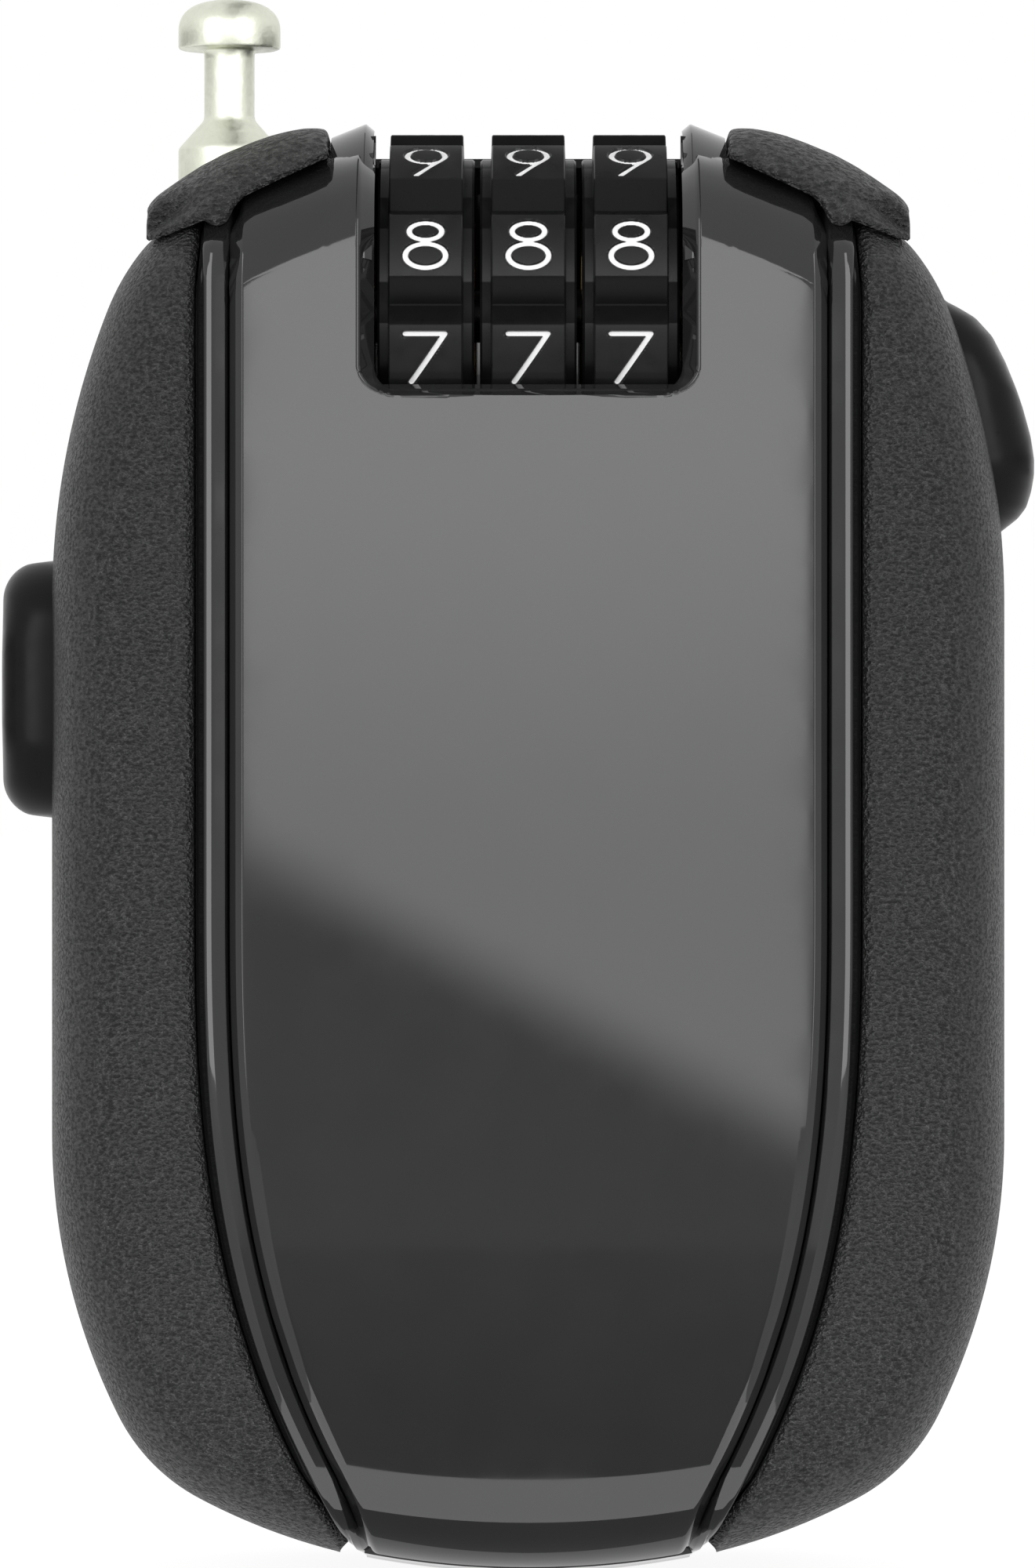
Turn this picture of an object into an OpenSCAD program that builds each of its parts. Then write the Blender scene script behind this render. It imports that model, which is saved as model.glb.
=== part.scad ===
// Pocket cable lock: three number dials, a steel cable on a spring reel and two side buttons.
// It stands upright: Z is up, the front faces -Y, and the origin lies under the middle of the body.
// All sizes are millimetres.

/* [Body] */
// Width of the body across both cheeks
body_w = 50; // [46:1:62]
// Height from the foot to the top of the housing
body_h = 75.1; // [70:1:92]
// Depth from the cheeks' front face to the rear face
body_d = 23; // [21:0.5:30]
// How far the front face lies inside the outline, at the end of the rounded edge
edge_inset = 4; // [2:0.5:5]
// Depth that the rounded edge takes up
edge_round = 6; // [3:0.5:7]
// Half width of the glossy spine between the cheeks
spine_half = 17.2; // [15:0.1:19]
// How far the spine draws in at the foot
spine_draw = 9.1; // [6:0.1:10]
// How far the spine's edge turns out again on the foot
spine_flare = 0.75; // [0:0.05:1.5]
// Height below which the spine draws in
spine_draw_z = 36; // [30:1:45]
// Thickness of the textured cheeks
cheek_t = 1.4; // [1:0.1:2]
// Wall of the moulded housings
wall = 1.4; // [1.2:0.1:2]

/* [Front panel] */
// Half width of the glossy front panel
panel_half = 14.7; // [13:0.1:15.5]
// Thickness of the panel
panel_t = 1.3; // [1:0.1:2]
// How far the panel stands proud of the cheeks' front face
panel_proud = 0.5; // [0.2:0.1:1]
// Width of the bevel along the panel's edges
panel_bevel = 0.65; // [0.3:0.05:0.8]
// How far the panel's edge turns out again on the foot
panel_flare = 2; // [0:0.1:2]
// How far inside the outline the panel starts to roll off
panel_inset = 5.5; // [4:0.5:5.5]
// Height of the panel's lower edge over the foot
panel_foot = 0.6; // [0.4:0.1:2]
// Depth of the channel beside the panel
channel_d = 0.6; // [0.3:0.05:0.9]
// Radius of the bead in the channel
bead_r = 0.56; // [0.4:0.02:0.6]

/* [Shoulder caps] */
// Distance from the middle to the inner end of a cap
cap_in = 10.4; // [9.8:0.1:12]
// Height of a cap's outer corner below the top of the housing
cap_drop = 4.7; // [3:0.1:6]

/* [Dials] */
// Outer radius of a dial over its number plates
dial_r = 9.5; // [8.5:0.1:10]
// Radius of the flanges beside the plates
dial_flange_r = 8.2; // [7.5:0.1:8.5]
// Distance from one dial to the next
dial_pitch = 5.3; // [5:0.05:5.6]
// Width of one dial
dial_w = 5; // [4.6:0.05:5.2]
// Width of the number plates
plate_w = 3.8; // [3:0.1:4.2]
// Angle that one number plate spans
plate_angle = 21; // [16:1:26]
// Angle of the first plate above the front
plate_start = 9.2; // [0:0.1:35]
// Radius at the bottom of the gap between two plates
valley_r = 8.4; // [8.3:0.05:8.6]
// Height of the dials' axis below the top of the housing
axle_drop = 9.1; // [8.8:0.1:10]
// Height of the window's lower edge below the dials' axis
window_drop = 4.35; // [3:0.05:5]
// Radius of the spindle that the dials turn on
spindle_r = 1.4; // [1.2:0.05:1.6]
// Outer radius of the code sleeve inside a dial
sleeve_r = 5; // [4.4:0.1:5.5]

/* [Cable] */
// Diameter of the steel cable
cable_d = 1.6; // [1.2:0.1:2]
// Radius of the locking pin's head and ferrule
pin_r = 2.68; // [2.2:0.02:3]
// Radius of the neck that the latch grips
neck_r = 1.32; // [1:0.02:1.6]
// Height of the pin's tip over the top of the housing
pin_rise = 7.5; // [6:0.1:9]
// Length of the ferrule below its cone
ferrule_l = 10; // [8:0.5:12]
// Turns in the outer layer of the winding
turns = 3; // [2:1:4]

/* [Reel] */
// Thickness of the reel's flanges
flange_t = 1.1; // [0.8:0.1:1.6]
// Room between the winding and a flange
groove_side = 0.35; // [0.3:0.05:0.5]
// Radius of the cable's path round the drum
wind_r = 15.7; // [14:0.1:16]
// Radius of the fixed post that the reel turns on
post_r = 2.5; // [2:0.1:3]
// Thickness of the power spring's strip
strip_t = 0.4; // [0.2:0.05:0.5]
// Coils of the power spring
spring_coils = 8; // [5:1:9]

/* [Buttons] */
// Height of the retract button's middle
retract_z = 46.4; // [44:0.1:48]
// Length of the retract button
retract_l = 13.2; // [11:0.1:14]
// How far the retract button stands out
retract_proud = 2.7; // [2.4:0.1:3.2]
// Middle of the release button below the top of the housing
release_drop = 14.4; // [14:0.1:16]
// Length of the release button
release_l = 12.4; // [10:0.1:13]
// How far the release button stands out of the widest part of the body
release_proud = 1.9; // [1.4:0.1:2.2]
// Width of both buttons, front to back
button_w = 8.6; // [7:0.1:9.5]
// Travel of the release button and its latch
release_travel = 2; // [1.6:0.1:2.2]
// Travel of the retract button
retract_travel = 1.5; // [1.2:0.1:1.8]

/* [Fits] */
// Radial clearance of parts that turn on a shaft
run_fit = 0.05; // [0.02:0.01:0.08]
// Gap between parts that move past each other
move_gap = 0.3; // [0.25:0.05:0.4]
// Gap at the seams between fixed parts
seam = 0.1; // [0.05:0.05:0.15]

// Gap around the sleeves pressed into the shoulders
press = 0.02; // [0.01:0.01:0.05]

/* [Hidden] */
$fn = 64;

// Colours
black_gloss = [0.09, 0.09, 0.095];
black_grain = [0.15, 0.15, 0.155];
black_satin = [0.07, 0.07, 0.075];
nickel = [0.80, 0.80, 0.74];
steel = [0.62, 0.63, 0.65];
brass = [0.78, 0.62, 0.32];
nylon = [0.85, 0.84, 0.80];

// Body planes
front_y = -body_d / 2;
rear_y = body_d / 2;
panel_y = front_y - panel_proud;
cavity_front_y = front_y + cheek_t + seam + wall;
cavity_rear_y = rear_y - wall - cheek_t + 0.2;
far = 60;

// The dials' axis, the pin and the socket all lie in the plane where the housings part
mech_y = front_y + dial_r;
axle_z = body_h - axle_drop;
chamber_r = dial_r + move_gap + 0.1;
chamber_half = 1.5 * dial_pitch + 0.1;
chamber_wall = 1.55;
dial_xs = [-dial_pitch, 0, dial_pitch];
window_z = axle_z - window_drop;
rim_r = dial_r + 0.55;

// Places that the cable sets: it leaves the drum straight up, on the pin's axis
pin_x = body_w / 2 - 9.3;
reel_x = wind_r - pin_x;
flange_r = wind_r + cable_d / 2 + 1.8;
reel_r = flange_r + 0.6;
reel_floor = 9.1;
reel_z = reel_r + reel_floor;
reel_front_y = cavity_front_y + move_gap;
groove_front_y = reel_front_y + flange_t;
wind_pitch = cable_d + 0.5;
groove_w = turns * wind_pitch + cable_d + 2 * groove_side;
groove_rear_y = groove_front_y + groove_w;
cup_front_y = groove_rear_y + flange_t;
cup_rear_y = cavity_rear_y - move_gap;
cup_wall = 1.1;
cover_t = 1;
wind_y = groove_front_y + groove_w / 2 - turns * wind_pitch / 2;
drum_r = wind_r - 2 * (cable_d + 0.05) - cable_d / 2;
hub_r = post_r + run_fit;

// Heights of the locking pin
tip_z = body_h + pin_rise;
head_z = tip_z - 2.6;
neck_z = head_z - 3.8;
cone_z = neck_z - 1.4;
ferrule_z = cone_z - ferrule_l;
sleeve_in_r = pin_r + 0.27;
sleeve_out_r = sleeve_in_r + 0.55;
cap_bore_r = sleeve_in_r + 0.3;
sleeve_top_z = body_h - 3.6;
exit_floor_z = ferrule_z - 0.1;
exit_floor_t = 1.5;
exit_low_z = exit_floor_z - exit_floor_t;
socket_low_z = axle_z + 2.9;

// The latch slider
latch_z = body_h - 14.7;
latch_t = 1.2;
latch_arm = 4.3;
latch_mouth = pin_r + 0.22;
tab_x = chamber_half + chamber_wall + release_travel + 0.2;
tab_t = 1;
latch_end_x = body_w / 2 - 4.6;

// Partition plate between the reel and the dials
plate_z = axle_z - chamber_r - 2.1;
plate_t = 1.2;
plate_low_x = -(body_w / 2 - 4.4);
plate_high_x = body_w / 2 - 6.2;

// Brake lever
pivot_x = -(body_w / 2 - 6.1);
pivot_z = reel_z + 16;
pivot_r = 1;
lever_t = flange_t + 0.1;
push_z = plate_z - 2.5;

// Axes of the two coil springs: [y, z]
return_spring = [5.2, min(retract_z + 4, plate_z - 3.6)];
latch_spring = [4.7, latch_z - 2.8];

// Distance from the middle to the inner end of both buttons' heads
button_root = body_w / 2 - 3.6;

// Case screws: [x, z]
screws = [
  [-(body_w / 2 - 6.4), 12],
  [body_w / 2 - 6.4, 12],
  [-(body_w / 2 - 5.4), plate_z + 3.4],
  [body_w / 2 - 5.4, reel_z + 22]
];
screw_r = 1;
screw_head_r = 1.8;
screw_head_t = 1.2;
screw_l = 9;

// ---------------------------------------------------------------- outlines

// Walks along arcs and straight runs. A step is [radius, turn, pieces], and [0, length, 1] is straight.
// Each point is [x, z, outward normal x, outward normal z].
function walk(p, h, steps, i = 0) =
  i == len(steps) ? [] :
  let (r = steps[i][0], a = steps[i][1], n = steps[i][2])
  r == 0
    ? let (q = p + a * [cos(h), sin(h)])
      concat([[q[0], q[1], sin(h), -cos(h)]], walk(q, h, steps, i + 1))
    : let (c = p + r * [-sin(h), cos(h)])
      concat(
        [for (k = [1:n]) let (g = h + a * k / n) [c[0] + r * sin(g), c[1] - r * cos(g), sin(g), -cos(g)]],
        walk(c + r * [sin(h + a), -cos(h + a)], h + a, steps, i + 1));

// Adds the mirrored left half to a right half that starts and ends on the middle line
function both_sides(half) = concat(
  half,
  [for (i = [len(half) - 2:-1:1]) [-half[i][0], half[i][1], -half[i][2], half[i][3]]]);

// Moves an outline inwards along its normals
function inset(outline, e) = [for (q = outline) [q[0] - e * q[2], q[1] - e * q[3]]];

// How far a chain of arcs moves sideways from its first heading
function run_x(steps, h, i = 0) = i == len(steps) ? 0 :
  steps[i][0] * (sin(h + steps[i][1]) - sin(h)) + run_x(steps, h + steps[i][1], i + 1);

// Body outline: foot arc, lower corner, straight flank, upper flank, shoulder and the arc over the top
foot_turn = 10;
lower_steps = [[32, 18, 3], [10, 35.5, 4], [33, 26.5, 4]];
upper_steps = [[42, 21.5, 3], [12, 16.5, 2], [6, 22, 2]];
top_turn = 12;
ridge_half = 10.1;
foot_r = (body_w / 2 - run_x(lower_steps, foot_turn)) / sin(foot_turn);
shoulder_x = body_w / 2 + run_x(upper_steps, 90);
top_r = (shoulder_x - ridge_half) / (sin(150) - sin(180 - top_turn));
ridge_r = ridge_half / sin(top_turn);
function body_steps(flank) = concat(
  [[foot_r, foot_turn, 3]], lower_steps, [[0, flank, 1]], upper_steps,
  [[top_r, 30 - top_turn, 3], [ridge_r, top_turn, 2]]);
curved_steps = walk([0, 0], 0, body_steps(0.01));
flank_rise = body_h - curved_steps[len(curved_steps) - 1][1] + 0.01;
body_half = concat([[0, 0, 0, -1]], walk([0, 0], 0, body_steps(flank_rise)));
body_outline = both_sides(body_half);

// Outline of the shoulder caps: a steep run, a small corner and a long slope
cap_x = body_w / 2 - 4.94;
cap_z = body_h - cap_drop;
cap_steep = 125;
cap_shoulder = 147;
cap_top = 165;
cap_run = 12;
cap_corner_r = 5;
cap_low = [cap_x - 0.18, cap_z + 0.89] - cap_run * [cos(cap_steep), sin(cap_steep)];
cap_corner_x = cap_x - 0.18 - cap_corner_r * (sin(cap_steep) - sin(cap_shoulder));
cap_slope_r = (cap_corner_x - cap_in - 0.8) / (sin(cap_shoulder) - sin(cap_top));
cap_steps = [[0, cap_run, 1], [cap_corner_r, cap_shoulder - cap_steep, 3],
  [cap_slope_r, cap_top - cap_shoulder, 4], [0, 3, 1]];
cap_rim = walk(cap_low, cap_steep, cap_steps);
cap_end = cap_rim[len(cap_rim) - 1];
cap_outline = concat(
  [[cap_end[0], cap_low[1], 0, 0], [cap_low[0], cap_low[1], sin(cap_steep), -cos(cap_steep)]],
  cap_rim);

// Insets and depths along the rounded edge, from the front face to the rear face
edge_steps = 4;
function edge_rings(front, rear, inset_by, round_by) = concat(
  [for (k = [0:edge_steps]) let (t = 90 - 90 * k / edge_steps)
    [front + round_by * (1 - sin(t)), inset_by * (1 - cos(t))]],
  [for (k = [0:edge_steps]) let (t = 90 * k / edge_steps)
    [rear - round_by * (1 - sin(t)), inset_by * (1 - cos(t))]]);

// ---------------------------------------------------------------- shape helpers

// Solid with an outline and a rounded edge at the front and the rear
module pillow(outline, shrink, front, rear, inset_by = edge_inset) {
  rings = edge_rings(front, rear, inset_by, edge_round);
  n = len(outline);
  points = [for (ring = rings) for (p = inset(outline, shrink + ring[1])) [p[0], ring[0], p[1]]];
  sides = [for (j = [0:len(rings) - 2]) for (i = [0:n - 1])
    let (a = j * n + i, b = j * n + (i + 1) % n) each [[a, b, b + n], [a, b + n, a + n]]];
  front_face = [[for (i = [n - 1:-1:0]) i]];
  rear_face = [[for (i = [0:n - 1]) (len(rings) - 1) * n + i]];
  polyhedron(points = points, faces = concat(front_face, sides, rear_face), convexity = 6);
}

// Extrudes a front-view shape from one depth to another
module along_y(from, to) {
  translate([0, to, 0]) rotate([90, 0, 0]) linear_extrude(to - from) children();
}

// Cylinder along the depth or along the width
module rod_y(r, from, to) {
  translate([0, from, 0]) rotate([-90, 0, 0]) cylinder(r = r, h = to - from);
}
module rod_x(r, from, to) {
  translate([from, 0, 0]) rotate([0, 90, 0]) cylinder(r = r, h = to - from);
}

// Box from one corner to the other
module block(low, high) {
  translate(low) cube(high - low);
}

// Half width of the spine and of the panel at a height: both draw in towards the foot and flare out on it
function drawn_in(z) = spine_draw * pow(max(0, spine_draw_z - z) / spine_draw_z, 2.88);
function spine_x(z) = spine_half - drawn_in(z) + spine_flare * pow(max(0, 4 - z) / 4, 1.5);
function panel_x(z) = panel_half + panel_bevel - drawn_in(z) + panel_flare * pow(max(0, 6 - z) / 6, 1.5);

// Front-view shape between two mirrored edges through the points of the right one
module between_edges(right) {
  left = [for (i = [len(right) - 1:-1:0]) [-right[i][0], right[i][1]]];
  polygon(concat(right, left));
}

edge_heights = concat([for (z = [-2:2:spine_draw_z]) z], [body_h + 4]);
module spine_shape(grow) {
  between_edges([for (z = edge_heights) [spine_x(z) + grow, z]]);
}
module panel_sides(grow) {
  between_edges([for (z = edge_heights) [panel_x(z) + grow, z]]);
}

// Lower edge of a cap: [distance from its inner end, depth under the top of the housing]
cap_edge = [[1.1, 1.8], [4.4, 3.45], [4.9, 4.2], [5.1, 4.75], [5.8, 4.95], [6.4, 4.6], [9.1, 5.3]];

// Front-view shape that the right shoulder cap takes up
module cap_shape(grow) {
  low = body_h - grow;
  polygon(concat(
    [[cap_in - grow, body_h + 4], [cap_in - grow, low - 1.2]],
    [for (p = cap_edge) [cap_in + p[0], low - p[1]]],
    [[cap_x + grow, low - 5.1], [cap_x + grow, body_h + 4]]));
}

// Square with round lower corners, open at the top: the dial window
module window_shape(half, low, r) {
  translate([-half, low + r]) square([2 * half, far]);
  translate([-half + r, low]) square([2 * (half - r), far]);
  for (s = [-1, 1]) translate([s * (half - r), low + r]) circle(r);
}

// Tube along a path. Each frame is [centre, first axis, second axis], and their cross product points ahead.
module tube(frames, r, sides) {
  n = len(frames);
  points = [for (f = frames) for (k = [0:sides - 1])
    let (t = 360 * (k + 0.5) / sides) f[0] + r * (cos(t) * f[1] + sin(t) * f[2])];
  walls = [for (j = [0:n - 2]) for (k = [0:sides - 1])
    let (a = j * sides + k, b = j * sides + (k + 1) % sides)
    each [[a, b + sides, b], [a, a + sides, b + sides]]];
  start = [[for (k = [0:sides - 1]) k]];
  end = [[for (k = [sides - 1:-1:0]) (n - 1) * sides + k]];
  polyhedron(points = points, faces = concat(start, walls, end), convexity = 10);
}

// Frames of a coil spring along X
function coil_frames(x0, x1, r, coils, rings) = [for (i = [0:coils * rings])
  let (t = 360 * i / rings, x = x0 + (x1 - x0) * i / (coils * rings))
  [[x, r * cos(t), r * sin(t)], [1, 0, 0], [0, cos(t), sin(t)]]];

// ---------------------------------------------------------------- cut-outs shared by the housings

module dial_space() {
  translate([0, mech_y, axle_z]) rod_x(chamber_r, -chamber_half, chamber_half);
  block([-chamber_half, -far, axle_z], [chamber_half, mech_y + chamber_r, body_h + 5]);
}

module window_cut(grow) {
  along_y(-far, mech_y) window_shape(chamber_half + grow, window_z - grow, 1.3);
}

module spindle_space() {
  translate([0, mech_y, axle_z]) {
    rod_x(spindle_r + 1, -chamber_half - chamber_wall, chamber_half + chamber_wall);
  }
  block([-chamber_half - chamber_wall - 3, mech_y - 2, axle_z - 2],
        [-chamber_half - chamber_wall, mech_y + 2, axle_z + 2]);
}

// Round room for the reel, with flats for the post's ends
module reel_space() {
  translate([reel_x, 0, reel_z]) {
    rod_y(reel_r, cavity_front_y, cavity_rear_y);
    rod_y(post_r, cavity_front_y - 0.8, cavity_rear_y + 1);
  }
}

// Room for the lever, the retract button's stem and the way up for the cable
module left_space() {
  wall_x = -(body_w / 2 - 3.2);
  block([wall_x, cavity_front_y, reel_z + 6], [-pin_x + 3.2, mech_y - 1.5, plate_z + 0.01]);
  block([wall_x, -4.2, retract_z - 4], [-pin_x + 1.5, 4.2, plate_z + 0.01]);
  block([-pin_x - 1.7, groove_front_y, reel_z], [-pin_x + 1.7, mech_y + 1.7, exit_low_z + 0.01]);
  translate([0, return_spring[0], return_spring[1]]) rod_x(2.1, wall_x, wall_x + 8.8);
}

// Room for the latch, the release button's stem and the pin's head
module right_space() {
  block([chamber_half + chamber_wall, mech_y - latch_arm - 0.3, latch_z - 4.4],
        [body_w / 2 - 3.3, mech_y + latch_arm + 0.3, latch_z + 1.8]);
  block([chamber_half + chamber_wall, mech_y - latch_arm - 0.3, latch_z],
        [pin_x + pin_r + 0.6, mech_y + latch_arm + 0.3, axle_z + 2.6]);
  translate([0, latch_spring[0], latch_spring[1]]) rod_x(2.3, chamber_half + chamber_wall, body_w / 2 - 3.3);
}

// Slot for the partition plate
module plate_space() {
  block([plate_low_x, cavity_front_y, plate_z], [plate_high_x, cavity_rear_y, plate_z + plate_t]);
}

// Holes for the sleeves in the shoulders
module sleeve_space() {
  translate([-pin_x, mech_y, exit_low_z]) cylinder(r = sleeve_out_r + press, h = far);
  translate([pin_x, mech_y, socket_low_z]) cylinder(r = sleeve_out_r + press, h = far);
}

// Pocket for the leaf spring under the dials
module detent_space() {
  leaf_z = plate_z + plate_t;
  block([-chamber_half, mech_y + 4.8, leaf_z - 0.01], [chamber_half, mech_y + 8.8, leaf_z + 3]);
}

// Stadium-shaped opening through the right flank
module flank_opening(inner_x, z, length) {
  r = button_w / 2 + move_gap;
  half = (length - button_w) / 2;
  for (s = [-1, 1]) translate([0, 0, z + s * half]) rod_x(r, inner_x, far);
  block([inner_x, -r, z - half], [far, r, z + half]);
}

// Openings for the two buttons
module button_openings() {
  mirror([1, 0, 0]) flank_opening(button_root - retract_travel - move_gap, retract_z, retract_l);
  flank_opening(button_root - release_travel - move_gap, body_h - release_drop, release_l);
}

// Raised rims over the top, beside the outer dials
module dial_rims() {
  flat = 0.45;
  intersection() {
    for (s = [0, 1]) mirror([s, 0, 0]) translate([0, mech_y, axle_z]) {
      rod_x(rim_r, chamber_half - 0.5, chamber_half + flat);
      translate([chamber_half + flat, 0, 0]) rotate([0, 90, 0]) cylinder(r1 = rim_r, r2 = rim_r - 0.75, h = 2.1);
    }
    block([-far, -far, axle_z + 6], [far, far, far + 30]);
  }
}

// Both housings before they are parted
module housing_blank() {
  difference() {
    union() {
      pillow(body_outline, cheek_t + seam, front_y + cheek_t + seam, rear_y - cheek_t - seam);
      intersection() {
        pillow(body_outline, channel_d, front_y + channel_d, rear_y - channel_d);
        along_y(-far, far) spine_shape(-seam);
      }
      intersection() {
        pillow(body_outline, 0, front_y, rear_y);
        along_y(-far, far) panel_sides(0);
      }
      dial_rims();
    }
    for (s = [0, 1]) mirror([s, 0, 0]) along_y(-far, far) intersection() {
      cap_shape(seam);
      difference() {
        translate([0, 40]) square([far, far]);
        polygon(inset(body_outline, cheek_t + seam));
      }
    }
    dial_space();
    spindle_space();
    reel_space();
    left_space();
    right_space();
    plate_space();
    sleeve_space();
    detent_space();
    button_openings();
  }
}

// Frames along an edge of the panel, straight down the face and then round the foot. Each frame's first axis
// points sideways. The strip lies a share of the channel's width from the edge and stands out by its lift, and
// it shrinks where the channel is narrower than it is on the face.
function edge_frames(side, share, lift, y, roll_z, roll_inset) =
  let (
    face = [for (z = [body_h - 5:-3:roll_z + 1]) [z, y]],
    roll = [for (t = [0:15:75]) [roll_z - roll_inset * sin(t), y + edge_round * (1 - cos(t))]],
    path = [for (q = concat(face, roll))
      let (z = q[0], width = spine_x(z) - panel_x(z))
      [side * (panel_x(z) + share * width), q[1], z, width / (spine_half - panel_half - panel_bevel)]],
    point = function (i) [path[i][0], path[i][1], path[i][2]])
  [for (i = [0:len(path) - 1])
    let (
      d = point(min(i + 1, len(path) - 1)) - point(max(i - 1, 0)),
      u = d / norm(d),
      a = [side, 0, 0] - (side * u[0]) * u,
      b = a / norm(a),
      c = cross(u, b),
      fit = share > 0 ? path[i][3] : 1)
    [point(i) + side * fit * lift * c, fit * b, fit * c]];

// Height of the foot's outline under the panel's edge
edge_foot = 1.2;

// Bead that stands on the channel's floor, its top about level with the panel's face
module bead(side) {
  lift = channel_d + panel_proud - bead_r - 0.06;
  roll_z = edge_foot + channel_d + edge_inset;
  tube(edge_frames(side, 0.37, lift, front_y + channel_d, roll_z, edge_inset), bead_r, 8);
}

// Cutter for the bevel: a square rod on edge along the panel's edge
module bevel_cutter(side) {
  frames = edge_frames(side, 0, 0, panel_y, edge_foot + panel_inset, panel_inset);
  tube([for (f = frames) [f[0], (f[1] + f[2]) / sqrt(2), (f[2] - f[1]) / sqrt(2)]], panel_bevel, 4);
}

// ---------------------------------------------------------------- body parts

module front_housing() {
  color(black_gloss) difference() {
    union() {
      intersection() {
        housing_blank();
        block([-far, -far, -far], [far, mech_y, far + 30]);
      }
      bead(1);
      bead(-1);
    }
    panel_space(seam);
    window_cut(0.1);
    for (s = screws) translate([s[0], 0, s[1]]) rod_y(screw_r, mech_y - 5.5, mech_y + 1);
  }
}

module rear_housing() {
  color(black_gloss) difference() {
    intersection() {
      housing_blank();
      block([-far, mech_y, -far], [far, far, far + 30]);
    }
    for (s = screws) translate([s[0], 0, s[1]]) {
      rod_y(screw_r + 0.1, mech_y - 1, rear_y);
      rod_y(screw_head_r + 0.1, mech_y + screw_l - 5, rear_y);
    }
  }
}

// Front-view shape of the panel
module panel_shape(grow) {
  intersection() {
    panel_sides(grow);
    polygon(concat(
      [for (i = [0:9]) [body_outline[i][0], body_outline[i][1] + panel_foot - grow]],
      [[far, far], [far, body_h + 4], [-far, body_h + 4], [-far, far]],
      [for (i = [9:-1:1]) [-body_outline[i][0], body_outline[i][1] + panel_foot - grow]]));
  }
}

// Depth that the panel fills: a flat seat, with a deeper lip at the foot and at the top
lip_depth = 3.2;
module panel_space(grow) {
  seat_y = panel_y + panel_t + grow;
  along_y(-far, seat_y) panel_shape(grow);
  intersection() {
    along_y(-far, seat_y + lip_depth) panel_shape(grow);
    union() {
      block([-far, -far, -far], [far, far, panel_foot + 2.6]);
      block([-far, -far, body_h - 6], [far, far, far + 30]);
    }
  }
}

module front_panel() {
  color(black_gloss) difference() {
    intersection() {
      pillow(body_outline, 0, panel_y, rear_y, panel_inset);
      panel_space(0);
    }
    bevel_cutter(1);
    bevel_cutter(-1);
    for (s = [0, 1]) mirror([s, 0, 0]) along_y(-far, far) cap_shape(seam);
    window_cut(0);
    dial_space();
    hull() {
      along_y(panel_y + 0.9, panel_y + 0.91) window_shape(chamber_half, window_z, 1.3);
      along_y(panel_y - 0.01, panel_y) window_shape(chamber_half + 0.8, window_z - 0.6, 2);
    }
  }
}

module cheek_solid() {
  difference() {
    pillow(body_outline, 0, front_y, rear_y);
    pillow(body_outline, cheek_t, front_y + cheek_t, rear_y - cheek_t);
    along_y(-far, far) spine_shape(0);
    for (s = [0, 1]) mirror([s, 0, 0]) along_y(-far, far) cap_shape(seam);
    sleeve_space();
    button_openings();
  }
}

module left_cheek() {
  color(black_grain) intersection() {
    cheek_solid();
    block([-far, -far, -far], [0, far, far + 30]);
  }
}

module right_cheek() {
  color(black_grain) intersection() {
    cheek_solid();
    block([0, -far, -far], [far, far, far + 30]);
  }
}

// Saddle over the right shoulder, bored for the sleeve below and the pin
module cap_solid() {
  difference() {
    intersection() {
      pillow(cap_outline, 0, front_y, rear_y);
      along_y(-far, far) cap_shape(0);
    }
    along_y(-far, far) polygon(inset(body_outline, cheek_t));
    translate([pin_x, mech_y, 0]) {
      cylinder(r = sleeve_out_r + press, h = sleeve_top_z);
      cylinder(r = cap_bore_r, h = 2 * far);
    }
  }
}

module left_shoulder_cap() {
  color(black_grain) mirror([1, 0, 0]) cap_solid();
}

module right_shoulder_cap() {
  color(black_grain) cap_solid();
}

module case_screws() {
  seat_y = mech_y + screw_l - 5;
  color(steel) for (s = screws) translate([s[0], 0, s[1]]) difference() {
    union() {
      rod_y(screw_r, seat_y - screw_l, seat_y + 0.2);
      rod_y(screw_head_r, seat_y, seat_y + screw_head_t);
    }
    for (a = [0, 90]) rotate([0, a, 0]) {
      block([-1.1, seat_y + 0.5, -0.22], [1.1, far, 0.22]);
    }
  }
}

// ---------------------------------------------------------------- dials and code works

// What is taken off the rim between two number plates, for a gap that starts at angle 0: a V with a short flank
module rim_gap() {
  gap = 36 - plate_angle;
  low = valley_r * [cos(0.57 * gap), sin(0.57 * gap)];
  first = dial_r * [1, 0];
  last = dial_r * [cos(gap), sin(gap)];
  polygon([first + 0.6 * (first - low), low, last + 0.6 * (last - low)]);
}

module dial_rim() {
  difference() {
    circle(dial_r);
    for (k = [0:9]) rotate(180 - plate_start + 36 * k) rim_gap();
  }
}

module dial(i) {
  translate([dial_xs[i], mech_y, axle_z]) color(black_satin) difference() {
    union() {
      // the profile's x runs along the depth and its y along the height
      rotate([90, 0, 90]) translate([0, 0, -plate_w / 2]) linear_extrude(plate_w) dial_rim();
      rod_x(dial_flange_r, -dial_w / 2, dial_w / 2);
    }
    rod_x(sleeve_r + run_fit, -dial_w, dial_w);
  }
}

module dial_1() { dial(0); }
module dial_2() { dial(1); }
module dial_3() { dial(2); }

// Sleeve inside a dial: a web with one gate, and a recess in which the spindle's fin stands
fin_r = 2.9;
fin_t = 1;
fin_w = 1.2;
web_t = 1.6;
fin_gap = 0.15;
module code_sleeve(i) {
  translate([dial_xs[i], mech_y, axle_z]) color(brass) difference() {
    rod_x(sleeve_r, -dial_w / 2, dial_w / 2);
    rod_x(spindle_r + run_fit, -dial_w, dial_w);
    rod_x(fin_r + 0.3, -dial_w / 2 + web_t, dial_w);
    block([-dial_w, -fin_w / 2 - 0.15, 0], [0, fin_w / 2 + 0.15, fin_r + 0.3]);
  }
}

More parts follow.
